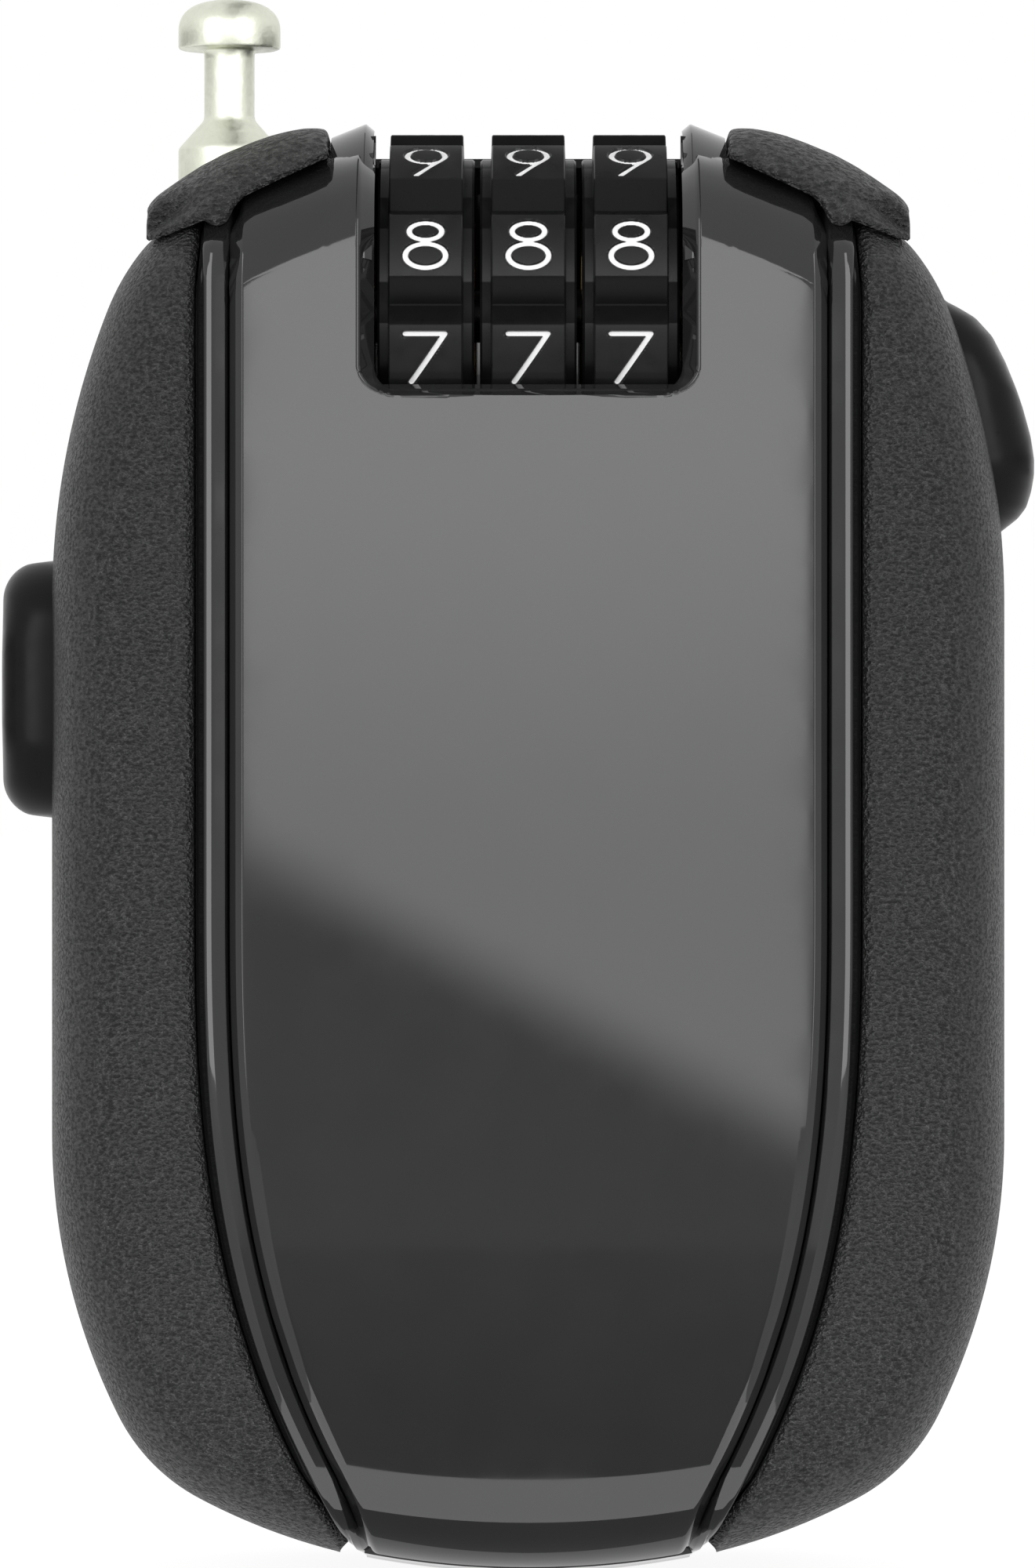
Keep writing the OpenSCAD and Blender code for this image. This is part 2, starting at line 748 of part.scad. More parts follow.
module code_sleeve_1() { code_sleeve(0); }
module code_sleeve_2() { code_sleeve(1); }
module code_sleeve_3() { code_sleeve(2); }

// Rod through the dials with a fin for each sleeve; it slides left when the release button is pressed
module locking_spindle() {
  color(steel) translate([0, mech_y, axle_z]) {
    rod_x(spindle_r, -chamber_half - chamber_wall + 0.2, tab_x);
    for (x = dial_xs) {
      fin_x = x + dial_w / 2 - fin_gap;
      block([fin_x - fin_t, -fin_w / 2, 0], [fin_x, fin_w / 2, fin_r]);
    }
  }
}

module spindle_bushes() {
  color(brass) for (s = [0, 1]) mirror([s, 0, 0]) translate([0, mech_y, axle_z]) difference() {
    rod_x(spindle_r + 1, chamber_half, chamber_half + chamber_wall);
    rod_x(spindle_r + run_fit, 0, far);
  }
}

// Fork that holds the pin's neck, with an upright tab for the spindle
module latch_slider() {
  color(steel) difference() {
    union() {
      block([tab_x, mech_y - latch_arm, latch_z], [latch_end_x, mech_y + latch_arm, latch_z + latch_t]);
      block([tab_x, mech_y - 2.6, latch_z], [tab_x + tab_t, mech_y + 2.6, axle_z + 2.4]);
    }
    translate([pin_x, mech_y, latch_z - 1]) {
      cylinder(r = neck_r + 0.18, h = latch_t + 2);
      translate([0, -neck_r - 0.18, 0]) cube([far, 2 * neck_r + 0.36, latch_t + 2]);
    }
    translate([pin_x + release_travel, mech_y, latch_z - 1]) cylinder(r = latch_mouth, h = latch_t + 2);
    block([pin_x + release_travel, mech_y - latch_mouth, latch_z - 1],
          [far, mech_y + latch_mouth, latch_z + latch_t + 1]);
  }
}

// Leaf spring with a finger under each dial, lying on the partition plate
module detent_spring() {
  leaf_z = plate_z + plate_t;
  color(steel) {
    block([-chamber_half + 0.3, mech_y + 5.2, leaf_z], [chamber_half - 0.3, mech_y + 8.6, leaf_z + 0.3]);
    for (x = dial_xs) difference() {
      block([x - 1.4, mech_y + 5.2, leaf_z + 0.2], [x + 1.4, mech_y + 5.6, leaf_z + 2.4]);
      translate([0, mech_y, axle_z]) rod_x(dial_r + move_gap, -far, far);
    }
  }
}

// ---------------------------------------------------------------- buttons, latch and brake

// Rounded button along X: a domed stadium from its root to its outer face
module button_head(root_x, face_x, length, low_drop) {
  soft = 1.6;
  half = button_w / 2;
  hull() for (s = [-1, 1]) translate([root_x, 0, s * (length - button_w) / 2]) rotate([0, 90, 0]) {
    cylinder(r = half, h = (face_x - root_x) * 0.35 - max(0, s) * low_drop, $fn = 32);
    cylinder(r = half - 0.5, h = face_x - root_x - 0.5 - max(0, s) * low_drop, $fn = 32);
    cylinder(r = half - soft, h = face_x - root_x - max(0, s) * low_drop, $fn = 32);
  }
}

module release_button() {
  mid_z = body_h - release_drop;
  face_x = body_w / 2 + release_proud;
  color(black_satin) {
    translate([0, 0, mid_z]) button_head(button_root, face_x, release_l, 2.2);
    block([latch_end_x, mech_y - latch_arm, latch_z - 0.9],
          [latch_end_x + 0.6, mech_y + latch_arm, latch_z + 1.6]);
    block([latch_end_x, -3.6, latch_z - 0.9], [button_root + 0.2, mech_y + latch_arm, latch_z + 1.6]);
    translate([0, latch_spring[0], latch_spring[1]]) rod_x(1.9, latch_end_x - 0.2, button_root + 0.2);
  }
}

module release_spring() {
  color(steel) translate([0, latch_spring[0], latch_spring[1]]) {
    start_x = chamber_half + chamber_wall + 0.2;
    tube(coil_frames(start_x, latch_end_x - release_travel - 0.55, 1.4, 5, 8), 0.2, 6);
  }
}

module retract_button() {
  face_x = body_w / 2 + retract_proud;
  seat_x = -button_root + 1;
  color(black_satin) {
    translate([0, 0, retract_z]) mirror([1, 0, 0]) button_head(button_root, face_x, retract_l, 0);
    root_x = -button_root - 0.2;
    lever_rear = reel_front_y + lever_t;
    block([root_x, lever_rear + 0.9, retract_z - 3], [seat_x, 3.8, push_z + 0.9]);
    block([root_x, reel_front_y, push_z - 1.1], [pivot_x - 1.1 - move_gap, lever_rear + 1.1, push_z + 0.9]);
    translate([0, return_spring[0], return_spring[1]]) rod_x(1.9, root_x, seat_x);
  }
}

module retract_spring() {
  color(steel) translate([0, return_spring[0], return_spring[1]]) {
    tube(coil_frames(-button_root + 1 + retract_travel + 0.35, -(body_w / 2 - 11.9), 1.4, 5, 8), 0.2, 6);
  }
}

// Rocker: its upper end is pushed by the button, its shoe bears on the reel's front flange
module brake_lever() {
  rear = reel_front_y + lever_t;
  color(steel) difference() {
    union() {
      translate([pivot_x, 0, pivot_z]) rod_y(2.1, reel_front_y, rear);
      along_y(reel_front_y, rear) polygon([
        [pivot_x - 1.1, pivot_z], [pivot_x + 1.1, pivot_z],
        [pivot_x + 0.3, push_z + 1], [pivot_x - 1.1, push_z + 1]]);
      along_y(reel_front_y, rear) polygon([
        [pivot_x - 1.6, pivot_z - 0.4], [pivot_x + 1.2, pivot_z],
        [pivot_x + 4.5, pivot_z - 5.2], [pivot_x + 2.4, pivot_z - 8.6], [pivot_x + 0.4, pivot_z - 8.2]]);
    }
    translate([reel_x, 0, reel_z]) rod_y(flange_r + 0.1, -far, far);
    translate([pivot_x, 0, pivot_z]) rod_y(pivot_r + run_fit, -far, far);
  }
}

module brake_pivot() {
  color(steel) translate([pivot_x, 0, pivot_z]) {
    rod_y(pivot_r, cavity_front_y, reel_front_y + lever_t + 0.4);
    rod_y(pivot_r + 0.7, reel_front_y + lever_t + 0.1, reel_front_y + lever_t + 0.6);
  }
}

// Steel plate between the reel and the dials, with a slot for the cable
module chamber_plate() {
  color(steel) difference() {
    block([plate_low_x + seam, cavity_front_y + seam, plate_z],
          [plate_high_x - seam, cavity_rear_y - seam, plate_z + plate_t]);
    hull() for (y = [mech_y, wind_y + 0.6]) translate([-pin_x, y, plate_z - 1]) {
      cylinder(r = cable_d / 2 + 0.5, h = plate_t + 2, $fn = 32);
    }
  }
}

// ---------------------------------------------------------------- cable and reel

// Round end of the cable: domed head, neck, cone and ferrule with a blind hole for the cable
module locking_pin() {
  dome_r = 3.4;
  dome = dome_r - sqrt(pow(dome_r, 2) - pow(pin_r, 2));
  color(nickel) translate([-pin_x, mech_y, 0]) difference() {
    union() {
      translate([0, 0, head_z]) cylinder(r = pin_r, h = tip_z - head_z - dome);
      intersection() {
        translate([0, 0, tip_z - dome_r]) rotate([90, 0, 0]) sphere(dome_r);
        translate([0, 0, tip_z - dome - 0.01]) cylinder(r = pin_r, h = dome + 1);
      }
      translate([0, 0, neck_z - 0.01]) cylinder(r = neck_r, h = head_z - neck_z + 0.02);
      translate([0, 0, cone_z]) cylinder(r1 = pin_r, r2 = neck_r, h = neck_z - cone_z);
      translate([0, 0, ferrule_z]) cylinder(r = pin_r, h = cone_z - ferrule_z + 0.01);
    }
    translate([0, 0, ferrule_z - 1]) cylinder(r = cable_d / 2 + run_fit, h = 7);
  }
}

// Steel sleeves in the shoulders: the left one has a floor with a hole for the cable
module sleeve(side, low, floor_t) {
  color(steel) translate([side * pin_x, mech_y, low]) difference() {
    cylinder(r = sleeve_out_r, h = sleeve_top_z - low);
    translate([0, 0, floor_t]) cylinder(r = sleeve_in_r, h = far);
    translate([0, 0, -1]) cylinder(r = floor_t > 0 ? cable_d / 2 + 0.4 : sleeve_in_r, h = far);
  }
}

module exit_sleeve() { sleeve(-1, exit_low_z, exit_floor_t); }
module socket_sleeve() { sleeve(1, socket_low_z, 0); }

// The cable from the winding straight up into the ferrule
lead_points = [
  [-pin_x, wind_y, reel_z + 0.05],
  [-pin_x, wind_y, reel_z + 3],
  [-pin_x, wind_y + 0.3, reel_z + 8],
  [-pin_x, mech_y - 0.6, exit_floor_z - 12],
  [-pin_x, mech_y - 0.1, exit_floor_z - 6],
  [-pin_x, mech_y, exit_floor_z - 3],
  [-pin_x, mech_y, ferrule_z + 5.9]
];

module cable_lead() {
  frames = [for (p = lead_points) [p, [1, 0, 0], [0, 1, 0]]];
  color(steel) tube(frames, cable_d / 2, 8);
}

// Outer layer of the winding, one unbroken tube, over a plain core for the layers below
loop_rings = 24;
winding_path = [for (i = [0:turns * loop_rings])
  let (t = 180 + 360 * (turns - i / loop_rings), y = wind_y + wind_pitch * (turns - i / loop_rings))
  [reel_x + wind_r * cos(t), y, reel_z + wind_r * sin(t)]];
near_points = [for (i = [0:len(winding_path) - 1]) for (j = [i + loop_rings - 4:1:len(winding_path) - 1])
  norm(winding_path[i] - winding_path[j])];
echo(least_gap_of_winding = min(near_points) - cable_d);

module cable_winding() {
  frames = [for (i = [0:len(winding_path) - 1])
    let (t = 180 + 360 * (turns - i / loop_rings))
    [winding_path[i], [cos(t), 0, sin(t)], [0, -1, 0]]];
  color(steel) {
    tube(frames, cable_d / 2, 6);
    translate([reel_x, 0, reel_z]) difference() {
      rod_y(wind_r - cable_d / 2 - 0.05, groove_front_y + 0.1, groove_rear_y - 0.1);
      rod_y(drum_r + 0.05, groove_front_y - 1, groove_rear_y + 1);
    }
  }
}

// Reel: front flange, drum, middle flange and the cup for the power spring, all turned about Y
module reel_drum() {
  color(nylon) translate([reel_x, 0, reel_z]) rotate([-90, 0, 0]) rotate_extrude($fn = 128) {
    polygon([
      [hub_r, reel_front_y], [flange_r, reel_front_y], [flange_r, groove_front_y],
      [drum_r, groove_front_y], [drum_r, groove_rear_y], [flange_r, groove_rear_y],
      [flange_r, cup_rear_y], [flange_r - cup_wall, cup_rear_y], [flange_r - cup_wall, cup_front_y],
      [drum_r - 1.6, cup_front_y], [drum_r - 1.6, groove_front_y + 1.6],
      [hub_r + 1.8, groove_front_y + 1.6], [hub_r + 1.8, cup_front_y], [hub_r, cup_front_y]]);
  }
}

module reel_cover() {
  color(nylon) translate([reel_x, 0, reel_z]) difference() {
    rod_y(flange_r - cup_wall - run_fit, cup_rear_y - cover_t, cup_rear_y);
    rod_y(hub_r, 0, far);
    for (a = [0:60:300]) rotate([0, a, 0]) translate([flange_r * 0.6, 0, 0]) rod_y(2, 0, far);
  }
}

module reel_post() {
  color(steel) translate([reel_x, 0, reel_z]) difference() {
    rod_y(post_r, cavity_front_y - 0.8, cavity_rear_y + 1);
    block([-0.3, cup_front_y, 0], [0.3, cavity_rear_y - cover_t, post_r + 1]);
  }
}

// Flat spiral of spring steel between the post and the cup
spiral_in = post_r + 0.4;
spiral_out = flange_r - cup_wall - 0.4;
function spiral_r(t) = spiral_in + (spiral_out - spiral_in) * t / (360 * spring_coils);
module power_spring() {
  step = 18;
  inner = [for (t = [0:step:360 * spring_coils]) (spiral_r(t) - strip_t / 2) * [cos(t), sin(t)]];
  outer = [for (t = [360 * spring_coils:-step:0]) (spiral_r(t) + strip_t / 2) * [cos(t), sin(t)]];
  color(steel) translate([reel_x, 0, reel_z]) {
    along_y(cup_front_y + 0.3, cup_rear_y - cover_t - 0.3) polygon(concat(inner, outer));
  }
}

front_housing();
rear_housing();
front_panel();
left_cheek();
right_cheek();
left_shoulder_cap();
right_shoulder_cap();
case_screws();
dial_1();
dial_2();
dial_3();
code_sleeve_1();
code_sleeve_2();
code_sleeve_3();
locking_spindle();
spindle_bushes();
latch_slider();
detent_spring();
release_button();
release_spring();
retract_button();
retract_spring();
brake_lever();
brake_pivot();
chamber_plate();
locking_pin();
exit_sleeve();
socket_sleeve();
cable_lead();
cable_winding();
reel_drum();
reel_cover();
reel_post();
power_spring();
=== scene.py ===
"""Pocket cable lock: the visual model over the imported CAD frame, laid out as a Blender add-on."""

import math
from types import SimpleNamespace

import bmesh
import bpy
import numpy as np
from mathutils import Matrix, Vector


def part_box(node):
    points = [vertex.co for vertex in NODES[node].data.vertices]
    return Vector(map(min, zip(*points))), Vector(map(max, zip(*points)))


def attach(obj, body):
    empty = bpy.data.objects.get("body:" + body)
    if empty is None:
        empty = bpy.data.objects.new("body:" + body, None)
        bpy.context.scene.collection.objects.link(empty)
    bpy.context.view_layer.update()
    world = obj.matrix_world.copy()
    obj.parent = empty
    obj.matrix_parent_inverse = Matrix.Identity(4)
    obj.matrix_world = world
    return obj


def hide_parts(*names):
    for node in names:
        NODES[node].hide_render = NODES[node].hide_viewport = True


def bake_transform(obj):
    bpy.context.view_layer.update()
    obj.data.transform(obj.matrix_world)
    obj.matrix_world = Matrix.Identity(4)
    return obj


bl_info = {
    "name": "Pocket Cable Lock",
    "version": (1, 0, 0),
    "blender": (4, 2, 0),
    "location": "3D View > Sidebar > Cable Lock",
    "description": "Builds a pocket cable lock with number dials over its CAD frame",
    "category": "Object",
}

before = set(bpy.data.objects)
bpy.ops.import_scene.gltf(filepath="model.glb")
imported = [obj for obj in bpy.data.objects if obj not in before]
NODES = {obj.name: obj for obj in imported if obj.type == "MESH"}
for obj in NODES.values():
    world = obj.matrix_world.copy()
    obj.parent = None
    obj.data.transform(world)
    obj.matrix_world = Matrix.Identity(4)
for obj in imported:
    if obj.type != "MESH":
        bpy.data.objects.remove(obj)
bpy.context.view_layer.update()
MM = 0.001


# ------------------------------------------------------------------ sizes from the frame, in millimetres

def node_box(node):
    """Lowest and highest corner of a CAD node in millimetres."""
    low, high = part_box(node)
    return np.array(low) / MM, np.array(high) / MM


PIN_LOW, PIN_HIGH = node_box("locking_pin")
DIAL_LOW, DIAL_HIGH = node_box("dial_2")
CHEEK_LOW, CHEEK_HIGH = node_box("right_cheek")
LEAD_LOW, LEAD_HIGH = node_box("cable_lead")

HALF_WIDTH = CHEEK_HIGH[0]
FRONT_Y = CHEEK_LOW[1]
REAR_Y = CHEEK_HIGH[1]
PANEL_Y = node_box("front_panel")[0][1]
RELEASE_X = node_box("release_button")[0][0]
RETRACT_X = node_box("retract_button")[0][0]
PIN_X = (PIN_LOW[0] + PIN_HIGH[0]) / 2
PIN_R = (PIN_HIGH[0] - PIN_LOW[0]) / 2
PIN_TOP = PIN_HIGH[2]
DIAL_R = (DIAL_HIGH[2] - DIAL_LOW[2]) / 2
PART_Y = (DIAL_HIGH[1] + DIAL_LOW[1]) / 2
AXLE_Z = (DIAL_HIGH[2] + DIAL_LOW[2]) / 2
BODY_TOP = AXLE_Z + 9.1
CHAMBER_HALF = 8.05
CHEEK_TOP_Z = 70.8
CHEEK_GAP = 0.45
CHEEK_TAIL = [0.03, 0.5, 1.0, 1.5]  # steps past the cheek's top end, sunk under the cap
TAIL_DROP = 0.6
HOLE_GAP = 0.3
WAIST_Z = 36
WINDOW_R = 1.3
BUTTON_HALF = 4.3
BUTTON_ROOT = 21.4
CABLE_R = 0.8
CABLE_LAY = 9
PANEL_HALF = 15.35
RELEASE_Z, RETRACT_Z = 60.7, 46.4
NUMBER_HEIGHT = 2.75
DIAL_XS = [sum(node_box(f"dial_{i}")[k][0] for k in (0, 1)) / 2 for i in (1, 2, 3)]

# Front outline: arcs as (radius, turn in degrees), from under the foot to the top
FOOT_TURN = 10
LOWER_ARCS = [(32, 18), (10, 35.5), (33, 26.5)]
UPPER_ARCS = [(42, 21.5), (12, 16.5), (6, 22)]
CROWN_TURN = 30
TOP_TURN = 12
RIDGE_HALF = 10.1


class LockSizes(bpy.types.PropertyGroup):
    """Sizes and colours of the visible pieces that a user would change."""

    shell: bpy.props.FloatProperty(
        name="Shell", description="Thickness of the moulded covers",
        default=1.3 * MM, min=0.6 * MM, max=2.0 * MM, unit="LENGTH")
    edge_inset: bpy.props.FloatProperty(
        name="Edge inset", description="How far the cheeks' flat face lies inside the outline",
        default=4.0 * MM, min=2.0 * MM, max=5.0 * MM, unit="LENGTH")
    edge_round: bpy.props.FloatProperty(
        name="Edge depth", description="Depth that the rounded edge takes up",
        default=6.0 * MM, min=3.0 * MM, max=7.0 * MM, unit="LENGTH")
    panel_inset: bpy.props.FloatProperty(
        name="Panel inset", description="How far the panel's flat face lies inside the outline",
        default=5.15 * MM, min=3.0 * MM, max=7.0 * MM, unit="LENGTH")
    edge_roll: bpy.props.FloatProperty(
        name="Edge roll", description="Radius of the cheeks' rolled edges",
        default=0.55 * MM, min=0.1 * MM, max=1.0 * MM, unit="LENGTH")
    number_height: bpy.props.FloatProperty(
        name="Number height", description="Height of a number along the dial's rim",
        default=NUMBER_HEIGHT * MM, min=1.5 * MM, max=3.2 * MM, unit="LENGTH")
    stroke: bpy.props.FloatProperty(
        name="Stroke", description="Width of a number's line",
        default=0.36 * MM, min=0.1 * MM, max=0.6 * MM, unit="LENGTH")
    engraving: bpy.props.FloatProperty(
        name="Engraving", description="Depth of the numbers in the dials",
        default=0.15 * MM, min=0.02 * MM, max=0.4 * MM, unit="LENGTH")
    grain: bpy.props.FloatProperty(
        name="Grain", description="Strength of the moulded grain",
        default=0.9, min=0.0, max=1.0, subtype="FACTOR")
    gloss_colour: bpy.props.FloatVectorProperty(
        name="Gloss colour", description="Colour of the polished housings", subtype="COLOR", size=3,
        default=(0.011, 0.011, 0.0113), min=0.0, max=1.0)
    grain_colour: bpy.props.FloatVectorProperty(
        name="Grain colour", description="Colour of the cheeks and caps", subtype="COLOR", size=3,
        default=(0.009, 0.009, 0.0093), min=0.0, max=1.0)
    satin_colour: bpy.props.FloatVectorProperty(
        name="Satin colour", description="Colour of the dials and buttons", subtype="COLOR", size=3,
        default=(0.006, 0.006, 0.0064), min=0.0, max=1.0)
    number_colour: bpy.props.FloatVectorProperty(
        name="Number colour", description="Colour of the paint in the numbers", subtype="COLOR", size=3,
        default=(0.88, 0.88, 0.88), min=0.0, max=1.0)
    nickel_colour: bpy.props.FloatVectorProperty(
        name="Nickel colour", description="Colour of the plated pin", subtype="COLOR", size=3,
        default=(0.76, 0.78, 0.66), min=0.0, max=1.0)


def sizes():
    """The scene's lock sizes, with lengths in millimetres."""
    group = bpy.context.scene.lock_sizes
    values = {name: getattr(group, name) for name in group.__annotations__}
    for name, value in values.items():
        if group.bl_rna.properties[name].unit == "LENGTH":
            values[name] = round(value / MM, 6)
    return SimpleNamespace(**values)


def unit(value):
    """A value kept between 0 and 1."""
    return np.clip(value, 0, 1)


def positive(value):
    """A value with what is below 0 made 0."""
    return np.clip(value, 0, None)


# ------------------------------------------------------------------ outline and faces of the body

def turned_normal(g):
    """Normal (sin g, -cos g) of an outline that heads at angle g."""
    return np.array([np.sin(g), -np.cos(g)]).T


def walk(steps, spacing=0.15):
    """Points and outward normals along arcs (radius, turn) and runs (0, length), from the origin along x.

    On an arc the centre lies at a right angle to the left of the heading, so a point at heading g is
    centre + radius * (sin g, -cos g), and (sin g, -cos g) is its normal.
    """
    point, angle = np.zeros(2), 0.0
    points, normals = [point[None]], [turned_normal(angle)[None]]
    for radius, turn in steps:
        length = radius * math.radians(turn) if radius else turn
        part = np.linspace(0, 1, max(3, int(length / spacing) + 1))[1:, None]
        if radius:
            normal = turned_normal(angle + part[:, 0] * math.radians(turn))
            centre = point + radius * np.array([-math.sin(angle), math.cos(angle)])
            points.append(centre + radius * normal)
            angle += math.radians(turn)
        else:
            normal = np.repeat(normals[-1][-1:], len(part), axis=0)
            points.append(point + part * turn * np.array([math.cos(angle), math.sin(angle)]))
        normals.append(normal)
        point = points[-1][-1]
    return np.vstack(points), np.vstack(normals)


def sideways(steps, heading):
    """Sideways move of a chain of arcs from its first heading: the sum of radius * change of sin(heading)."""
    moved, angle = 0.0, heading
    for radius, turn in steps:
        moved += radius * (math.sin(math.radians(angle + turn)) - math.sin(math.radians(angle)))
        angle += turn
    return moved


def body_outline():
    """Right half of the front outline, from the middle of the foot to the middle of the top."""
    def sin(degrees):
        return math.sin(math.radians(degrees))

    foot = (HALF_WIDTH - sideways(LOWER_ARCS, FOOT_TURN)) / sin(FOOT_TURN)
    shoulder = HALF_WIDTH + sideways(UPPER_ARCS, 90)
    crown = (shoulder - RIDGE_HALF) / (sin(180 - CROWN_TURN) - sin(180 - TOP_TURN))
    ridge = RIDGE_HALF / sin(TOP_TURN)
    bottom = [(foot, FOOT_TURN)] + LOWER_ARCS
    top = UPPER_ARCS + [(crown, CROWN_TURN - TOP_TURN), (ridge, TOP_TURN)]
    bare, _ = walk(bottom + top)
    return walk(bottom + [(0, BODY_TOP - bare[-1, 1])] + top)


OUTLINE, OUTLINE_NORMALS = body_outline()


def edge_distance(x, z):
    """Distance in the front view from points inside the body to its outline, along the nearest normal."""
    points = np.stack([np.abs(np.ravel(x)), np.ravel(z)], axis=1)
    out = np.empty(len(points))
    for first in range(0, len(points), 4096):
        block = points[first:first + 4096]
        gap = ((block[:, None] - OUTLINE[None]) ** 2).sum(axis=2)
        near = gap.argmin(axis=1)
        out[first:first + 4096] = ((OUTLINE[near] - block) * OUTLINE_NORMALS[near]).sum(axis=1)
    return out.reshape(np.shape(x))


def fall(distance, inset, depth):
    """Quarter ellipse: how far a face falls back at a distance from the outline, 0 from the inset inwards."""
    t = unit(1 - distance / inset)
    return depth * (1 - np.sqrt(1 - t * t))


def draw_in(z):
    """How far the spine's sides draw in at a height: a power of the height below the waist."""
    return 9.1 * (positive(WAIST_Z - z) / WAIST_Z) ** 2.88


def panel_edge(z):
    """Half width of the panel with its bevel: drawn in towards the foot, less steeply in the last 6 mm."""
    return PANEL_HALF - draw_in(z) + 1.55 * (np.clip(6 - z, 0, 6) / 5.05) ** 1.5


def cheek_edge(z):
    """Half width at the cheeks' inner edge."""
    return 17.2 - draw_in(z) + 0.5 * (np.clip(4 - z, 0, 4) / 3) ** 1.5


# ------------------------------------------------------------------ mesh helpers

def make_piece(name, points, faces, material, sharp=40.0):
    """Smooth mesh object in metres from points in millimetres and blocks of faces, its volume positive."""
    mesh = bpy.data.meshes.new(name)
    face_list = [tuple(face) for group in faces for face in np.asarray(group).tolist()]
    mesh.from_pydata((np.asarray(points) * MM).tolist(), [], face_list)
    for m in material if isinstance(material, (list, tuple)) else [material]:
        mesh.materials.append(m)
    work = bmesh.new()
    work.from_mesh(mesh)
    bmesh.ops.remove_doubles(work, verts=work.verts, dist=1e-7)
    loose = [v for v in work.verts if not v.link_faces]
    bmesh.ops.delete(work, geom=loose, context="VERTS")
    if work.calc_volume(signed=True) < 0:
        bmesh.ops.reverse_faces(work, faces=work.faces)
    work.to_mesh(mesh)
    work.free()
    obj = bpy.data.objects.new(name, mesh)
    bpy.context.scene.collection.objects.link(obj)
    finish_mesh(mesh, sharp)
    return obj


def finish_mesh(mesh, sharp=40.0):
    """Smooth shading with edges sharper than an angle kept."""
    mesh.validate()
    mesh.polygons.foreach_set("use_smooth", np.full(len(mesh.polygons), True))
    mesh.set_sharp_from_angle(angle=math.radians(sharp))
    mesh.update()


def grid_faces(rows, columns, close_rows=False, close_columns=False):
    """Quads of a grid whose vertex number is row * columns + column, wrapped where asked."""
    r = np.arange(rows if close_rows else rows - 1)
    c = np.arange(columns if close_columns else columns - 1)
    r, c = np.meshgrid(r, c, indexing="ij")
    r2, c2 = (r + 1) % rows, (c + 1) % columns
    quads = np.stack([r * columns + c, r * columns + c2, r2 * columns + c2, r2 * columns + c], axis=-1)
    return quads.reshape(-1, 4)


def shell(name, outer, inner, material):
    """Closed wall between two grids of points, joined along their four borders."""
    rows, columns = outer.shape[:2]
    count = rows * columns
    number = np.arange(count).reshape(rows, columns)
    quads = grid_faces(rows, columns)
    borders = ((number[0, 1:], number[0, :-1]), (number[-1, :-1], number[-1, 1:]),
               (number[:-1, 0], number[1:, 0]), (number[1:, -1], number[:-1, -1]))
    walls = [np.stack([a, b, b + count, a + count], axis=-1) for a, b in borders]
    points = np.vstack([outer.reshape(-1, 3), inner.reshape(-1, 3)])
    return make_piece(name, points, [quads, quads[:, ::-1] + count, *walls], material)


def loft(name, loops, material, sharp=40.0):
    """Solid through closed loops of points, with flat ends."""
    rows, columns = loops.shape[:2]
    last = (rows - 1) * columns
    ends = [[list(range(columns))[::-1]], [list(range(last, last + columns))]]
    faces = [grid_faces(rows, columns, close_columns=True)] + ends
    return make_piece(name, loops.reshape(-1, 3), faces, material, sharp=sharp)


def turned(name, profile, centre, axis, material, segments, sharp=40.0):
    """Solid of revolution: a closed profile of (radius, height) turned about the x or z axis through a
    centre, so that its points are radius * (cos a, sin a) at the profile's heights.
    """
    a = np.linspace(0, 2 * np.pi, segments, endpoint=False)[:, None]
    radius, height = np.array(profile, float).T
    ring = [radius * np.cos(a), radius * np.sin(a)]
    ring.insert(0 if axis == "x" else 2, height + 0 * a)
    points = np.stack(ring, axis=-1) + np.array(centre)
    faces = [grid_faces(segments, len(radius), close_rows=True, close_columns=True)]
    return make_piece(name, points.reshape(-1, 3), faces, material, sharp=sharp)


def grid_normals(grid, centre=None):
    """Unit normals of a grid: the cross product of its two directions, turned away from a centre."""
    normal = np.cross(np.gradient(grid, axis=1), np.gradient(grid, axis=0))
    normal /= np.maximum(np.linalg.norm(normal, axis=-1, keepdims=True), 1e-9)
    if centre is not None:
        normal *= np.sign((normal * (grid - np.array(centre))).sum(-1, keepdims=True))
    return normal


def border_distance(grid, axis):
    """Distance along one direction of a grid to its nearer border."""
    step = np.linalg.norm(np.diff(grid, axis=axis), axis=-1)
    zero = np.zeros_like(np.take(step, [0], axis=axis))
    run = np.cumsum(np.concatenate([zero, step], axis=axis), axis=axis)
    return np.minimum(run, np.take(run, [-1], axis=axis) - run)


def roll(distance_a, distance_b, radius):
    """Drop of an edge rolled with a radius, and of the corner where two rolled edges meet."""
    a = np.clip(radius - distance_a, 0, radius)
    b = np.clip(radius - distance_b, 0, radius)
    return radius - np.sqrt(positive(radius ** 2 - a ** 2 - b ** 2))


def spread(low, high, count, radius, steps=5):
    """Positions from low to high with extra ones in the rolled edge at both ends."""
    ends = radius * (1 - np.cos(np.linspace(0, np.pi / 2, steps + 1)[:-1]))
    middle = np.linspace(low + radius, high - radius, count)
    return np.concatenate([low + ends, middle, (high - ends)[::-1]])


def cut(obj, cutter, crossed=False):
    """Cuts a piece and removes the closed cutter; crossed is for a piece that meets itself."""
    modifier = obj.modifiers.new("cut", "BOOLEAN")
    modifier.operation = "DIFFERENCE"
    modifier.solver = "EXACT"
    modifier.use_self = crossed
    modifier.object = cutter
    bpy.context.view_layer.update()
    done = obj.evaluated_get(bpy.context.evaluated_depsgraph_get())
    mesh = bpy.data.meshes.new_from_object(done)
    obj.modifiers.clear()
    old, obj.data = obj.data, mesh
    mesh.name = obj.name
    bpy.data.meshes.remove(old)
    bpy.data.objects.remove(cutter)
    finish_mesh(mesh)
    return obj


